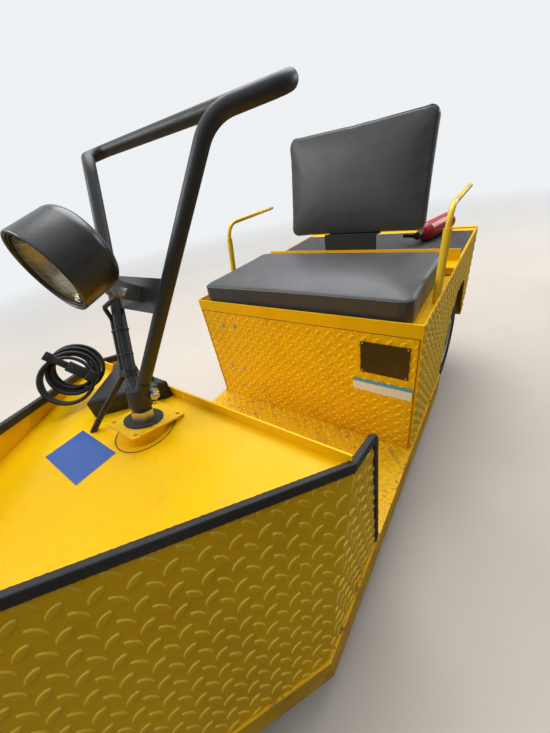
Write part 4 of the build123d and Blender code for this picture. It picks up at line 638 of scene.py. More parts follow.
TYRE_CROWN = 0.2095
TYRE_WALL = (
    # across from the middle, radius: from the bead out to the shoulder
    (0.0440, 0.1019), (0.0440, 0.1100), (0.0455, 0.1190), (0.0505, 0.1330), (0.0540, 0.1500),
    (0.0550, 0.1640), (0.0538, 0.1760), (0.0512, 0.1860), (0.0488, 0.1915),
)
TYRE_SHOULDER = ((0.0480, 0.1930), (0.0452, 0.1985))
TYRE_EDGE = (0.0407, 0.2025)
TYRE_INSIDE = (
    (0.034, 0.1019), (0.045, 0.150), (0.034, 0.192), (0.0, 0.198), (-0.034, 0.192), (-0.045, 0.150),
    (-0.034, 0.1019),
)
TYRE_GROOVES = (0.0285, 0.0095)
CROWN_DROP = 0.007
GROOVE_SWAY = 0.0022
SHOULDER_NOTCH = 0.0025
TYRE_TWIST = 0.02


def tyre_half(settings, turn):
    """Half of the tyre's section at one angle, from the bead out to the crown, as (across, radius)."""
    waves = turn / math.tau * settings.tread_waves
    sway = (abs(waves % 1.0 - 0.5) * 4 - 1) * GROOVE_SWAY
    notch = SHOULDER_NOTCH if math.sin(turn * settings.tread_waves) >= 0 else 0
    section = [*TYRE_WALL, *((across - notch, radius) for across, radius in TYRE_SHOULDER), TYRE_EDGE]
    for centre in TYRE_GROOVES:
        top = TYRE_CROWN - CROWN_DROP * (centre / TYRE_EDGE[0]) ** 2
        floor = top - settings.tread_depth
        section += [
            (centre + 0.0042 + sway, top), (centre + 0.0030 + sway, floor),
            (centre - 0.0012 + sway, floor), (centre - 0.0024 + sway, top),
        ]
    return section


def make_tyre(name, body, axle, settings):
    """Ribbed tyre with zigzag grooves and notched shoulders: a section spun, then swayed by its angle."""
    mesh = bmesh.new()
    steps = settings.tyre_steps
    sections = []
    for step in range(steps):
        turn = math.tau * step / steps
        near, far = tyre_half(settings, turn), tyre_half(settings, turn + TYRE_TWIST)
        sections.append([(-y, r) for y, r in near] + far[::-1] + list(TYRE_INSIDE))
    verts = [mesh.verts.new((axle[0], axle[1] + y, axle[2] + radius)) for y, radius in sections[0]]
    edges = [mesh.edges.new(pair) for pair in zip(verts, verts[1:] + verts[:1])]
    bmesh.ops.spin(
        mesh, geom=verts + edges, cent=axle, axis=(0, 1, 0), angle=math.tau, steps=steps, use_merge=True
    )
    for index, vert in enumerate(mesh.verts):
        step, place = divmod(index, len(verts))
        y, radius = sections[step][place]
        turn = math.tau * step / steps
        vert.co = (axle[0] + radius * math.sin(turn), axle[1] + y, axle[2] + radius * math.cos(turn))
    tyre = finish_mesh("tread_" + name, mesh, "tyre", body, crisp=50)
    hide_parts(name)


# Upholstery


def outline_point(half_x, half_y, corner, share, pull):
    """Point of a rounded rectangle whose sides draw in between their corners."""
    straight_x, straight_y = half_x - corner, half_y - corner
    arc = corner * math.pi / 2
    total = 4 * (straight_x + straight_y) + 4 * arc
    run = share % 1.0 * total
    legs = (
        (2 * straight_y, (half_x, -straight_y), (0, 1)),
        (2 * straight_x, (straight_x, half_y), (-1, 0)),
        (2 * straight_y, (-half_x, straight_y), (0, -1)),
        (2 * straight_x, (-straight_x, -half_y), (1, 0)),
    )
    for index, (length, start, way) in enumerate(legs):
        if run <= length:
            inward = pull * math.sin(math.pi * run / length) ** 0.7
            x, y = start[0] + way[0] * run, start[1] + way[1] * run
            return Vector((x - way[1] * inward, y + way[0] * inward))
        run -= length
        if run <= arc:
            turn = index * math.pi / 2 + run / corner
            centre = ((straight_x, straight_y), (-straight_x, straight_y),
                      (-straight_x, -straight_y), (straight_x, -straight_y))[index]
            return Vector((centre[0] + corner * math.cos(turn), centre[1] + corner * math.sin(turn)))
        run -= arc
    return Vector((half_x, -straight_y))


PAD_STEPS = 96
PAD_TOP = (0.975, 0.94, 0.88, 0.79, 0.68, 0.55, 0.41, 0.27, 0.13)


def pad_mesh(matrix, half_x, half_y, corner, border, crown, pull):
    """Boxed pad: upright border, seamed edge and a crowned top, in the matrix's own plane."""
    mesh = bmesh.new()
    levels = [(0.965, 0.0), (0.985, 0.002), (0.994, 0.008), (1.0, border / 2),
              (0.997, border - 0.006), (1.0, border - 0.001), (0.993, border + 0.002)]
    levels += [(scale, border + 0.003 + crown * (1 - scale ** 2.4)) for scale in PAD_TOP]
    rings = []
    for scale, height in levels:
        ring = []
        for step in range(PAD_STEPS):
            flat = outline_point(half_x, half_y, corner, step / PAD_STEPS, pull * min(1, scale))
            inset = (1 - scale) * min(half_x, half_y)
            flat = Vector((flat.x * (half_x - inset) / half_x, flat.y * (half_y - inset) / half_y))
            ring.append(mesh.verts.new(matrix @ Vector((flat.x, flat.y, height))))
        rings.append(ring)
    add_skin(mesh, rings)
    return mesh


COVER_VOXEL = 0.0064
COVER_FRAMES = 20


def inflate(obj, matrix, border, settings):
    """Let the cover swell under pressure, scaled so that no point goes past a cap and its foot stays."""
    scene = bpy.context.scene
    bpy.context.view_layer.objects.active = obj
    remesh = assign(obj.modifiers.new("remesh", "REMESH"), mode="VOXEL", voxel_size=COVER_VOXEL)
    bpy.ops.object.modifier_apply(modifier=remesh.name)
    before = [vertex.co.copy() for vertex in obj.data.vertices]
    cloth = obj.modifiers.new("cover", "CLOTH")
    assign(
        cloth.settings, quality=4, mass=0.3, tension_stiffness=25, compression_stiffness=25,
        bending_stiffness=4, use_pressure=True, uniform_pressure_force=settings.cover_pressure,
    )
    cloth.settings.effector_weights.gravity = 0
    assign(cloth.point_cache, frame_start=1, frame_end=COVER_FRAMES)
    for step in range(COVER_FRAMES):
        scene.frame_set(step + 1)
    bpy.ops.object.modifier_apply(modifier=cloth.name)
    scene.frame_set(1)
    moves = [vertex.co - start for vertex, start in zip(obj.data.vertices, before)]
    share = min(1.0, settings.cover_cap / max(move.length for move in moves))
    flat = matrix.inverted()
    for vertex, start, move in zip(obj.data.vertices, before, moves):
        rise = min(1.0, max(0.0, (flat @ start).z / border))
        vertex.co = start + move * share * rise
    obj.data.update()
    obj.data.polygons.foreach_set("use_smooth", [True] * len(obj.data.polygons))


def add_tube(mesh, points, radius, sides=10, closed=False):
    """Tube along a line of points, capped unless it is closed."""
    rings = []
    count = len(points)
    normal = None
    for index, point in enumerate(points):
        before = points[index - 1] if index or closed else point
        after = points[(index + 1) % count] if index < count - 1 or closed else point
        along = (Vector(after) - Vector(before)).normalized()
        if normal is None:
            normal = along.orthogonal().normalized()
        normal = (normal - along * normal.dot(along)).normalized()
        side = along.cross(normal)
        rings.append([
            mesh.verts.new(Vector(point) + (normal * math.cos(t) + side * math.sin(t)) * radius)
            for t in (math.tau * step / sides for step in range(sides))
        ])
    add_skin(mesh, rings, closed)


# Cord


COIL_PLACE = (0.532, -0.276)
COIL_OUT = Vector((0.23, 0.86, 0.46)).normalized()


def coil_matrix():
    """Frame of the hank: its z along the coil's axis, at the coil's centre."""
    low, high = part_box("charger_coil")
    centre = Vector((COIL_PLACE[0], COIL_PLACE[1], (low.z + high.z) / 2))
    return basis(centre, (1, 0, 0), COIL_OUT)


TURNS = (
    # radius, offset along the coil's axis, then to the picture's right and down
    (0.0450, 0.0085, -0.002, 0.003), (0.0480, -0.0010, 0.001, -0.006), (0.0500, -0.0105, 0.009, -0.012),
    (0.0600, -0.0105, 0.009, -0.012), (0.0580, -0.0010, 0.001, -0.006), (0.0560, 0.0085, -0.002, 0.003),
    (0.0590, 0.0180, -0.013, 0.024), (0.0590, 0.0180, -0.013, 0.024),
)
TURN_STEPS = 14
TURN_START = 2.2
SEEN_RIGHT = Vector((-0.809, 0.588, 0))
SEEN_DOWN = Vector((0.574, 0.819, 0))


def coil_points():
    """Control points of the cord's turns, from the innermost out."""
    matrix = coil_matrix()
    points = []
    for step in range((len(TURNS) - 1) * TURN_STEPS + 1):
        place = step / TURN_STEPS
        index = min(int(place), len(TURNS) - 2)
        share = place - index
        share = share * share * (3 - 2 * share)
        radius, offset, right, down = (
            here * (1 - share) + there * share for here, there in zip(TURNS[index], TURNS[index + 1])
        )
        turn = math.tau * place + TURN_START
        flat = Vector((radius * math.cos(turn), radius * math.sin(turn), offset))
        points.append(matrix @ (flat + SEEN_RIGHT * right + SEEN_DOWN * down))
    return points


CORD_RADIUS = 0.0044
CABLE_RADIUS = 0.0066
CABLE_ROUTE = ((0.514, -0.042, 0.768), (0.566, -0.079, 0.708), (0.603, -0.117, 0.6525))
CONNECTOR_BLOCKS = (
    # centre and size along the connector, across it and out of the hank
    ((-0.056, 0, 0.008), (0.018, 0.022, 0.010)),
    ((-0.030, 0, 0.008), (0.038, 0.017, 0.008)),
    ((0.012, 0, 0.008), (0.046, 0.026, 0.013)),
    ((0.049, 0, 0.008), (0.026, 0.029, 0.016)),
)


def curve_length(obj):
    """Length of a curve object's own line."""
    bevel = obj.data.bevel_depth
    obj.data.bevel_depth = 0
    mesh = bpy.data.meshes.new_from_object(obj.evaluated_get(bpy.context.evaluated_depsgraph_get()))
    obj.data.bevel_depth = bevel
    total = sum(
        (mesh.vertices[e.vertices[0]].co - mesh.vertices[e.vertices[1]].co).length for e in mesh.edges
    )
    bpy.data.meshes.remove(mesh)
    return total


# Settings and operators


def length_setting(name, description, default, least):
    """A length for the panel, in metres."""
    return FloatProperty(name=name, description=description, default=default, min=least, unit="LENGTH")


class VehicleSettings(bpy.types.PropertyGroup):
    """Sizes of the tread plate, the tyres and the upholstery."""

    lug_pitch: length_setting("Lug Pitch", "Distance between like lugs", 0.0378, 0.01)
    lug_length: length_setting("Lug Length", "Length of one raised lug", 0.0266, 0.005)
    lug_width: length_setting("Lug Width", "Width of one raised lug", 0.0117, 0.002)
    lug_height: length_setting("Lug Height", "Height of one raised lug", 0.0022, 0.0002)
    tread_depth: length_setting("Tread Depth", "Depth of the tyre grooves", 0.0045, 0.001)
    cover_cap: length_setting("Cover Cap", "Furthest that a cover may swell", 0.010, 0.0)
    tread_waves: IntProperty(
        name="Tread Waves", description="Zigzags round one tyre", default=48, min=8, subtype="UNSIGNED"
    )
    tyre_steps: IntProperty(
        name="Tyre Steps", description="Segments round one tyre", default=288, min=48, subtype="UNSIGNED"
    )
    cover_pressure: FloatProperty(
        name="Cover Pressure", description="Pressure that swells the covers", default=4.0, min=0.0,
        subtype="FACTOR",
    )


WELD_GAP = 0.00002     # CAD nodes come as loose triangles, which bevels and remeshing need joined
TRIM_VOXEL = 0.0019
BEVEL_ANGLE = math.radians(40)
NUT_RIM_RISE = -0.0035
NUT_RIM_RADIUS = 0.0285


class VEHICLE_OT_paint(bpy.types.Operator):
    """Give every CAD node its material and soften its edges"""

    bl_idname = "vehicle.paint"
    bl_label = "Paint Nodes"

    def execute(self, context):
        for name, (maker, values) in LOOKS.items():
            MATERIALS[name] = maker(name, **values)
        for look, names in NODE_LOOKS.items():
            for name in names.split():
                NODES[name].data.materials.clear()
                NODES[name].data.materials.append(MATERIALS[look])
        nut = NODES["stem_nut"].data
        nut.materials.append(MATERIALS["trim"])
        for face in nut.polygons:
            away = face.center - STEER_POINT
            rise = away.dot(STEER_AXIS)
            low_ring = rise < NUT_RIM_RISE or (away - STEER_AXIS * rise).length > NUT_RIM_RADIUS
            face.material_index = 1 if low_ring else 0
        for width, names in BEVELS.items():
            for name in names.split():
                assign(NODES[name].modifiers.new("joined faces", "WELD"), merge_threshold=WELD_GAP)
                assign(
                    NODES[name].modifiers.new("soft edges", "BEVEL"), width=width, segments=3,
                    limit_method="ANGLE", angle_limit=BEVEL_ANGLE, harden_normals=True,
                )
        trim = NODES["edge_trim"].modifiers
        assign(trim.new("joined faces", "WELD"), merge_threshold=WELD_GAP)
        assign(
            trim.new("rolled skin", "REMESH"), mode="VOXEL", voxel_size=TRIM_VOXEL,
            use_smooth_shade=True,
        )
        assign(trim.new("rolled edges", "SMOOTH"), factor=0.5, iterations=10)
        return {"FINISHED"}


class VEHICLE_OT_tread(bpy.types.Operator):
    """Raise crossed lugs on every tread-plate panel"""

    bl_idname = "vehicle.tread"
    bl_label = "Tread Plate"

    def execute(self, context):
        settings = context.scene.vehicle
        for name, node, out, across, turn, size, limits, look in TREAD:
            mesh = bmesh.new()
            add_lugs(mesh, Region(node, out, across, limits), settings, math.radians(turn), size)
            lugs = finish_mesh(name, mesh, look, "chassis", crisp=70)
            # Second slot: lighter yellow painted highlight on the lugs' rims.
            lugs.data.materials.append(MATERIALS["lug_rim"])
        return {"FINISHED"}


class VEHICLE_OT_tyres(bpy.types.Operator):
    """Replace the plain tyres with ribbed ones"""

    bl_idname = "vehicle.tyres"
    bl_label = "Tyres"

    def execute(self, context):
        for name, body, axle in WHEELS:
            make_tyre(name, body, axle, context.scene.vehicle)
        return {"FINISHED"}


CUSHION_BORDER = 0.076
CUSHION_CORNER = 0.030
CUSHION_SHIFT = -0.004
CUSHION_EASE = 0.003
CUSHION_SWELL = 0.010
BACK_RECLINE = math.radians(10.3)
BACK_FOOT = Vector((-0.575, 0, GROUND_TO_FLOOR + 0.574))
BACK_HALF_UP, BACK_HALF_WIDE, BACK_THICK = 0.1905, 0.289, 0.055
BACK_BORDER, BACK_CROWN, BACK_CORNER = 0.039, 0.012, 0.026
SEAM_RADIUS = 0.0022
SEAM_STEPS = 160


class VEHICLE_OT_upholstery(bpy.types.Operator):
    """Make the seat cushion and the back pad with their seams"""

    bl_idname = "vehicle.upholstery"
    bl_label = "Upholstery"

    def execute(self, context):
        low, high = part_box("cushion")
        middle = Vector(((low.x + high.x) / 2 + CUSHION_SHIFT, 0, low.z))
        half_x, half_y = (high.x - low.x) / 2 + CUSHION_EASE, (high.y - low.y) / 2 - CUSHION_EASE
        matrix = basis(middle, (1, 0, 0), (0, 0, 1))
        crown = high.z - low.z - CUSHION_BORDER - CUSHION_SWELL
        outline = (half_x, half_y, CUSHION_CORNER)
        self.pad(
            "seat_cushion", "seat_seam", "cushion", "seat_lid", matrix, outline, CUSHION_BORDER, crown,
            pull=0.004,
        )

        face = Vector((math.cos(BACK_RECLINE), 0, math.sin(BACK_RECLINE)))
        up = Vector((-math.sin(BACK_RECLINE), 0, math.cos(BACK_RECLINE)))
        matrix = basis(BACK_FOOT + up * BACK_HALF_UP - face * BACK_THICK, up, face)
        outline = (BACK_HALF_UP, BACK_HALF_WIDE, BACK_CORNER)
        self.pad(
            "back_pad", "back_seam", "backrest", "chassis", matrix, outline, BACK_BORDER, BACK_CROWN,
            pull=0.001,
        )
        return {"FINISHED"}

    def pad(self, name, seam_name, node, body, matrix, outline, border, crown, pull):
        """One pad in a CAD node's place: its cover swollen and smoothed, and a seam round its edge."""
        pad = finish_mesh(name, pad_mesh(matrix, *outline, border, crown, pull), "vinyl", body)
        inflate(pad, matrix, border, bpy.context.scene.vehicle)
        assign(pad.modifiers.new("smooth", "SUBSURF"), levels=1, render_levels=1)
        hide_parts(node)

        cover = pad.evaluated_get(bpy.context.evaluated_depsgraph_get())
        points = []
        for step in range(SEAM_STEPS):
            flat = outline_point(*outline, step / SEAM_STEPS, pull)
            _, near, _, _ = cover.closest_point_on_mesh(matrix @ Vector((flat.x, flat.y, border)))
            points.append(near)
        mesh = bmesh.new()
        add_tube(mesh, points, SEAM_RADIUS, closed=True)
        finish_mesh(seam_name, mesh, "vinyl", body)


LAMP_PITCH = math.radians(16)
LAMP_RIM = (0.556, 0, GROUND_TO_FLOOR + 0.800)
LAMP_BOLT = (0.462, 0.0142, 0.936)
LENS_RADIUS = 0.0636
RIB_FIELD = 0.061
RIB_RADIUS = 0.00045
BOWL = (
    # radius, depth behind the lamp's rim
    (0.0, -0.046), (0.012, -0.045), (0.026, -0.039), (0.040, -0.030), (0.052, -0.018),
    (0.061, -0.0118), (0.0634, -0.0108),
)
BULB_SHIELD = ((0, -0.020), (0.008, -0.021), (0.010, -0.026), (0.009, -0.040))
LENS_BACK = ((0.0636, -0.0098), (0.050, -0.0078), (0.03, -0.0050), (0.0, -0.0035))


def lens_depth(radius):
    """How far the crowned lens lies behind its middle, at a radius."""
    return -0.0072 * (radius / LENS_RADIUS) ** 2.2


class VEHICLE_OT_lamp(bpy.types.Operator):
    """Fit the headlamp's reflector, bulb shield, glass and rim bead"""

    bl_idname = "vehicle.lamp"
    bl_label = "Headlamp"

    def execute(self, context):
        place = basis(LAMP_RIM, (0, 1, 0), (math.cos(LAMP_PITCH), 0, -math.sin(LAMP_PITCH)))
        radii = [LENS_RADIUS * step / 10 for step in range(11)]
        glass = [(radius, lens_depth(radius) - 0.0005) for radius in radii] + list(LENS_BACK)
        for name, look, slot, profile, segments in (
            ("lamp_reflector", "reflector", "zinc", BOWL, 72),
            ("lamp_bulb_shield", "bare", "zinc", BULB_SHIELD, 32),
            ("lamp_glass", "glass", "lamp_glass", glass, 72),
        ):
            mesh = bmesh.new()
            add_revolved(mesh, profile, place, segments)
            made = finish_mesh(name, mesh, look, "steering")
        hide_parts("lamp_lens")

        mesh = bmesh.new()
        for upright, gap in ((True, 0.0056), (False, 0.0115)):
            count = int(RIB_FIELD / gap)
            for rib in range(-count, count + 1):
                reach = math.sqrt(max(0.0, RIB_FIELD ** 2 - (rib * gap) ** 2))
                if reach < 0.01:
                    continue
                line = []
                for step in range(-12, 13):
                    flat = (rib * gap, reach * step / 12)
                    flat = flat if upright else flat[::-1]
                    line.append(place @ Vector((*flat, lens_depth(math.hypot(*flat)) - 0.0003)))
                add_tube(mesh, line, RIB_RADIUS, 6)
        finish_mesh("lens_flutes", mesh, "flute", "steering")
        mesh = bmesh.new()
        add_bolt(mesh, LAMP_BOLT, (0, 1, 0), 0.0125, 0.0058, 0.0105, 0.003)
        finish_mesh("lamp_bolt", mesh, "bare", "steering", crisp=35)
        mesh = bmesh.new()
        add_tube(mesh, circle(place, 0.0625, -0.0052, 90), 0.0019, closed=True)
        finish_mesh("lamp_bezel", mesh, "case", "steering")
        return {"FINISHED"}


class VEHICLE_OT_cord(bpy.types.Operator):
    """Wind the charger cord's hank with its connector"""

    bl_idname = "vehicle.cord"
    bl_label = "Charger Cord"

    def execute(self, context):
        points = coil_points()
        cord = self.smooth_cord("charger_cord", points, CORD_RADIUS, "charger_coil")
        connector = self.connector()
        curve_length(cord)
        cable = self.smooth_cord("deck_cable_sheath", CABLE_ROUTE, CABLE_RADIUS, "deck_cable")
        curve_length(cable)
        return {"FINISHED"}

    def smooth_cord(self, name, points, radius, node):
        """Round cord on one smooth curve, in the place of a CAD node."""
        data = assign(
            bpy.data.curves.new(name, "CURVE"), dimensions="3D", bevel_depth=1.0, bevel_resolution=4,
            resolution_u=6, use_fill_caps=True,
        )
        spline = data.splines.new("NURBS")
        spline.points.add(len(points) - 1)
        for point, place in zip(spline.points, points):
            assign(point, co=(*place, 1), radius=radius)
        assign(spline, order_u=3, use_endpoint_u=True)
        cord = add_object(name, data)
        data.materials.append(MATERIALS["cord"])
        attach(cord, "chassis")
        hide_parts(node)
        return cord

    def connector(self):
        """Flat black connector lying across the hank."""
        matrix = coil_matrix()
        along = (matrix.to_3x3() @ Vector((-0.454, 0.891, 0))).normalized()
        place = basis(matrix @ Vector((-0.003, -0.008, 0.0130)), along, COIL_OUT)
        mesh = bmesh.new()
        for centre, size in CONNECTOR_BLOCKS:
            block = bmesh.ops.create_cube(
                mesh, size=1,
                matrix=place @ Matrix.Translation(centre) @ Matrix.Diagonal((*size, 1)),
            )
            soften_block(mesh, block, 0.0018)
        return finish_mesh("cord_connector", mesh, "case", "chassis", crisp=30)


PLATE_THICK = 0.0010
PLATES = (
    # piece, look, lowest and highest (y, z) on the seat box's face
    ("data_plate", "data_plate", (0.257, GROUND_TO_FLOOR + 0.288), (0.399, GROUND_TO_FLOOR + 0.398)),
    ("notice_film", "two_tone", (0.233, GROUND_TO_FLOOR + 0.213), (0.414, GROUND_TO_FLOOR + 0.259)),
)
PLATE_STUDS = [(y, GROUND_TO_FLOOR + z) for y in (0.263, 0.393) for z in (0.294, 0.392)]
STUD = ((0.0026, 0), (0.0024, 0.0008), (0.0014, 0.0014), (0, 0.0016))
DECK_FILM = ((0.613, -0.144), (0.697, -0.144), (0.697, -0.001), (0.613, -0.001))
SEAT_BOX_BOLTS = ((-0.323, 0.368), (-0.259, 0.374), (-0.333, 0.164), (-0.264, 0.164))
SEAT_BOX_SHADOW_LINES = (
    # lowest and highest (y, z) of each painted shadow line on the seat box's face: under the lip and down
    # both side edges
    ((-0.418, LIP_Z - 0.0030), (0.418, LIP_Z - 0.0002)),
    ((-0.420, GROUND_TO_FLOOR + 0.002), (-0.4175, LIP_Z)),
    ((0.4175, GROUND_TO_FLOOR + 0.002), (0.420, LIP_Z)),
)
CLAMP = STEER_POINT + STEER_AXIS * 0.045 + Vector((-0.023, 0, 0))
CLAMP_SIDE = Vector((0.15, 0.98, 0.0)).normalized()
CLAMP_SIZE = (0.038, 0.030, 0.030)
COLLAR_RADIUS = 0.063
LEG_FOOT = Vector((0.506, -0.024, 0.766))
LEG_SHOULDER = Vector((0.317, -0.178, 1.149))
HARNESS_TIES = (
    # height above the ground, windings
    (0.768, 6), (0.806, 1), (0.848, 2),
)


TIE_CORES = (
    # x, y and radius of the bar and of the harness beside it
    (0, 0, 0.0128), (0.0175, 0, 0.0046),
)
TIE_PITCH = 0.0024
TIE_RADIUS = 0.0014
LINE_STEPS = 48


def tight_line(place, circles):
    """Closed line drawn tight round circles, given as (x, y, radius) in the place's own plane."""
    points = []
    for step in range(LINE_STEPS):
        turn = math.tau * step / LINE_STEPS
        way = Vector((math.cos(turn), math.sin(turn), 0))
        x, y, radius = max(circles, key=lambda circle: way.x * circle[0] + way.y * circle[1] + circle[2])
        points.append(place @ (Vector((x, y, 0)) + way * radius))
    return points


class VEHICLE_OT_hardware(bpy.types.Operator):
    """Fit bolts, the clamp bolt, blank plates and films"""

    bl_idname = "vehicle.hardware"
    bl_label = "Hardware"

    def execute(self, context):
        mesh = bmesh.new()
        for y, z in SEAT_BOX_BOLTS:
            add_bolt(mesh, (SEAT_FACE_X, y, GROUND_TO_FLOOR + z), (1, 0, 0), 0.010, 0.004, 0.0085, 0.004)
        finish_mesh("seat_box_bolts", mesh, "zinc", "chassis", crisp=35)

        mesh = bmesh.new()
        grip = CLAMP_SIDE * CLAMP_SIZE[0] / 2
        add_bolt(mesh, CLAMP + grip, CLAMP_SIDE, 0.019, 0.011, 0.0135, 0.008)
        add_bolt(mesh, CLAMP - grip, -CLAMP_SIDE, 0.019, 0.010, 0.0135)
        finish_mesh("clamp_bolt", mesh, "zinc", "steering", crisp=35)
        mesh = bmesh.new()
        place = basis(CLAMP, CLAMP_SIDE, STEER_AXIS)
        block = bmesh.ops.create_cube(mesh, size=1, matrix=place @ Matrix.Diagonal((*CLAMP_SIZE, 1)))
        soften_block(mesh, block, 0.003)
        finish_mesh("clamp_ear", mesh, "bar", "steering", crisp=35)

        self.ties()
        mesh = bmesh.new()
        middle = STEER_POINT - STEER_AXIS * ((STEER_POINT.z - DECK_Z) / STEER_AXIS.z)
        level = Matrix.Translation(middle) @ Matrix.Diagonal((1 / math.cos(RAKE), 1, 1, 1))
        add_tube(mesh, circle(level, COLLAR_RADIUS, 0.0002, 96), 0.0011, closed=True)
        finish_mesh("collar_seal", mesh, "sealant", "chassis")

        lug_tops = SEAT_FACE_X + context.scene.vehicle.lug_height
        mesh = bmesh.new()
        for stud in PLATE_STUDS:
            place = basis((lug_tops + PLATE_THICK, *stud), (0, 1, 0), (1, 0, 0))
            add_revolved(mesh, STUD, place, 14)
        finish_mesh("plate_rivets", mesh, "zinc", "chassis")

        # Painted shadow: thin dark brown strips under the lip and down the seat box's side edges.
        mesh = bmesh.new()
        for low, high in SEAT_BOX_SHADOW_LINES:
            add_wall_plate(mesh, SEAT_FACE_X, low, high, 0.0006)
        finish_mesh("seat_box_shadow_lines", mesh, "seam_dirt", "chassis", smooth=False)
        for name, look, low, high in PLATES:
            mesh = bmesh.new()
            add_wall_plate(mesh, lug_tops, low, high, PLATE_THICK)
            finish_mesh(name, mesh, look, "chassis", smooth=False)
        mesh = bmesh.new()
        add_plate(mesh, [(*corner, DECK_Z + 0.0002) for corner in DECK_FILM], (0, 0, 1), 0.0004)
        finish_mesh("deck_film", mesh, "blue_film", "chassis", smooth=False)
        return {"FINISHED"}

    def ties(self):
        """Tape and ties that hold the lamp's harness to the right leg of the handlebar."""
        along = (LEG_SHOULDER - LEG_FOOT).normalized()
        mesh = bmesh.new()
        for height, windings in HARNESS_TIES:
            share = (height - LEG_FOOT.z) / (LEG_SHOULDER.z - LEG_FOOT.z)
            centre = LEG_FOOT.lerp(LEG_SHOULDER, share)
            for winding in range(windings):
                place = basis(centre + along * TIE_PITCH * winding, (0.5, -0.85, 0), along)
                add_tube(mesh, tight_line(place, TIE_CORES), TIE_RADIUS, 8, True)
        finish_mesh("harness_ties", mesh, "case", "steering")


CAMERA_TURN = Matrix((
    (-0.56463, 0.54118, -0.62315),
    (0.80655, 0.20159, -0.55573),
    (-0.17513, -0.81639, -0.55031),
))
LAMPS = (
    # name, place, size, power, colour
    ("sky_panel", (-1.8, -0.8, 4.4), 4.5, 175.0, (0.96, 0.98, 1.0)),
    ("front_right", (3.2, -3.4, 3.4), 2.6, 100.0, (1.0, 0.99, 0.96)),
    ("rear_left", (-4.6, 2.2, 2.4), 2.0, 50.0, (1.0, 0.98, 0.95)),
)
BACKDROP = (0.86, 0.88, 0.90)
SKY = (0.88, 0.93, 1.0)
SKY_WAY = (0.0, -0.42, 0.90)
FLOOR_SIZE = 14
FLOOR_FADE = (2.2, 6.5)
CAMERA_PLACE = (0.725, 0.552, 0.877 + GROUND_TO_FLOOR)
CAMERA_LENS = {
    "lens": 14.806, "sensor_width": 36.0, "shift_x": 0.00878, "shift_y": 0.0011, "clip_start": 0.02,
}
LAMP_AIM = Vector((0, 0, 0.5))


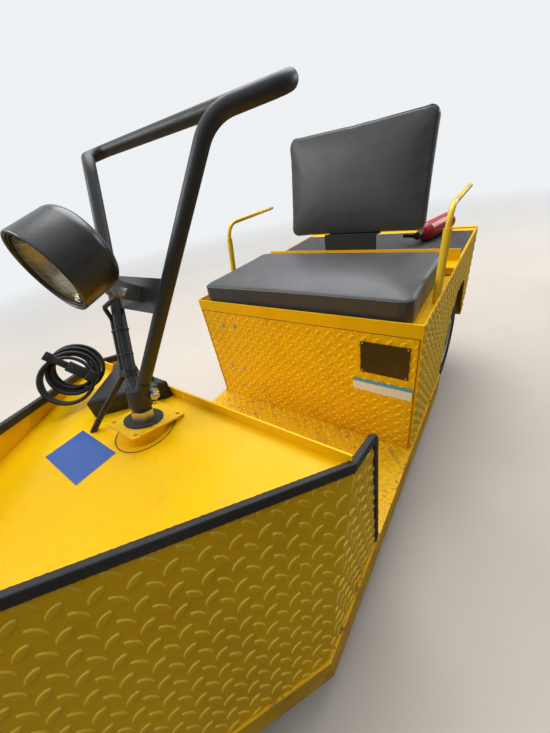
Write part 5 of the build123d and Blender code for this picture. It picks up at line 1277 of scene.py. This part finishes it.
class VEHICLE_OT_stage(bpy.types.Operator):
    """Set the floor, the lights, the world and the camera"""

    bl_idname = "vehicle.stage"
    bl_label = "Stage"

    def execute(self, context):
        scene = context.scene
        mesh = bmesh.new()
        bmesh.ops.create_grid(mesh, x_segments=1, y_segments=1, size=FLOOR_SIZE)
        data = bpy.data.meshes.new("floor")
        mesh.to_mesh(data)
        mesh.free()
        floor = add_object("floor", data)
        look = Look("floor_grey", (0.62, 0.555, 0.48), 0.75)
        look.patches(1.6, 5.0, 0.4, 0.7, 0.5, (0.54, 0.48, 0.41))
        self.fade(look, Vector((0.24, 0.19, 0.14)))
        data.materials.append(look.material)

        for name, place, size, power, colour in LAMPS:
            light = assign(
                bpy.data.lights.new(name, "AREA"), shape="DISK", size=size, energy=power, color=colour
            )
            aim = LAMP_AIM - Vector(place)
            turn = aim.to_track_quat("-Z", "Y").to_euler()
            assign(add_object(name, light), location=place, rotation_euler=turn)

        scene.world = self.world()
        scene.view_settings.view_transform = "Standard"

        camera = add_object("camera", assign(bpy.data.cameras.new("camera"), **CAMERA_LENS))
        turn = CAMERA_TURN @ Matrix.Diagonal((1, -1, -1))
        camera.matrix_world = Matrix.Translation(CAMERA_PLACE) @ turn.to_4x4()
        scene.camera = camera
        return {"FINISHED"}

    def world(self):
        """Sky that is brighter overhead, behind a plain backdrop; mirrors see a mix of the two."""
        world = bpy.data.worlds.new("studio")
        tree = Tree(world)
        soft = tree.nodes["Background"]
        soft.inputs["Color"].default_value = (*SKY, 1)
        place = tree.node("ShaderNodeTexCoord").outputs["Generated"]
        toward = tree.node("ShaderNodeVectorMath", {"operation": "DOT_PRODUCT"}, x0=place, x1=SKY_WAY)
        rise = tree.band(toward.outputs["Value"], 0.0, 1.0, 0.04, 1.0)
        tree.links.new(rise, soft.inputs["Strength"])
        shown = tree.node("ShaderNodeBackground", Color=(*BACKDROP, 1)).outputs[0]
        ray = tree.node("ShaderNodeLightPath").outputs
        straight = tree.times(ray["Is Camera Ray"], ray["Is Transmission Ray"], "ADD")
        mirrored = tree.node(
            "ShaderNodeMath", {"operation": "MULTIPLY_ADD", "use_clamp": True},
            x0=ray["Is Glossy Ray"], x1=tree.times(rise, 0.25, "MAXIMUM"), x2=straight,
        ).outputs[0]
        mix = tree.node("ShaderNodeMixShader", x0=mirrored, x1=soft.outputs[0], x2=shown).outputs[0]
        tree.links.new(mix, tree.nodes["World Output"].inputs["Surface"])
        return world

    def fade(self, look, bounce):
        """Run the floor into the backdrop's colour far away, and throw back only a low warm light."""
        away = look.node("ShaderNodeVectorMath", {"operation": "LENGTH"}, x0=look.place).outputs["Value"]
        far = look.band(away, *FLOOR_FADE)
        seen = look.node("ShaderNodeLightPath").outputs["Is Camera Ray"]
        glow = look.node("ShaderNodeEmission", Color=(*BACKDROP, 1)).outputs[0]
        dull = look.node("ShaderNodeBsdfDiffuse", Color=(*bounce, 1)).outputs[0]
        near = look.node("ShaderNodeMixShader", x0=seen, x1=dull, x2=look.shader.outputs[0]).outputs[0]
        mix = look.node("ShaderNodeMixShader", x0=look.times(far, seen), x1=near, x2=glow)
        look.links.new(mix.outputs[0], look.nodes["Material Output"].inputs["Surface"])


class VEHICLE_PT_panel(bpy.types.Panel):
    """Sidebar panel with the vehicle's sizes and steps"""

    bl_idname = "VEHICLE_PT_panel"
    bl_label = "Utility Vehicle"
    bl_space_type = "VIEW_3D"
    bl_region_type = "UI"
    bl_category = "Vehicle"

    def draw(self, context):
        column = self.layout.column()
        for name in VehicleSettings.__annotations__:
            column.prop(context.scene.vehicle, name)
        for operator in OPERATORS:
            column.operator(operator.bl_idname)


OPERATORS = (
    VEHICLE_OT_paint,
    VEHICLE_OT_stage,
    VEHICLE_OT_cord,
    VEHICLE_OT_tread,
    VEHICLE_OT_tyres,
    VEHICLE_OT_upholstery,
    VEHICLE_OT_lamp,
    VEHICLE_OT_hardware,
)
CLASSES = (VehicleSettings, *OPERATORS, VEHICLE_PT_panel)


def register():
    """Register the classes and the scene's settings."""
    for item in CLASSES:
        bpy.utils.register_class(item)
    bpy.types.Scene.vehicle = PointerProperty(type=VehicleSettings)


def unregister():
    """Remove the settings and the classes."""
    del bpy.types.Scene.vehicle
    for item in reversed(CLASSES):
        bpy.utils.unregister_class(item)


def main():
    """Build every piece in turn."""
    register()
    bpy.ops.vehicle.paint()
    bpy.ops.vehicle.stage()
    bpy.ops.vehicle.cord()
    bpy.ops.vehicle.tread()
    bpy.ops.vehicle.tyres()
    bpy.ops.vehicle.upholstery()
    bpy.ops.vehicle.lamp()
    bpy.ops.vehicle.hardware()


if __name__ == "__main__":
    main()
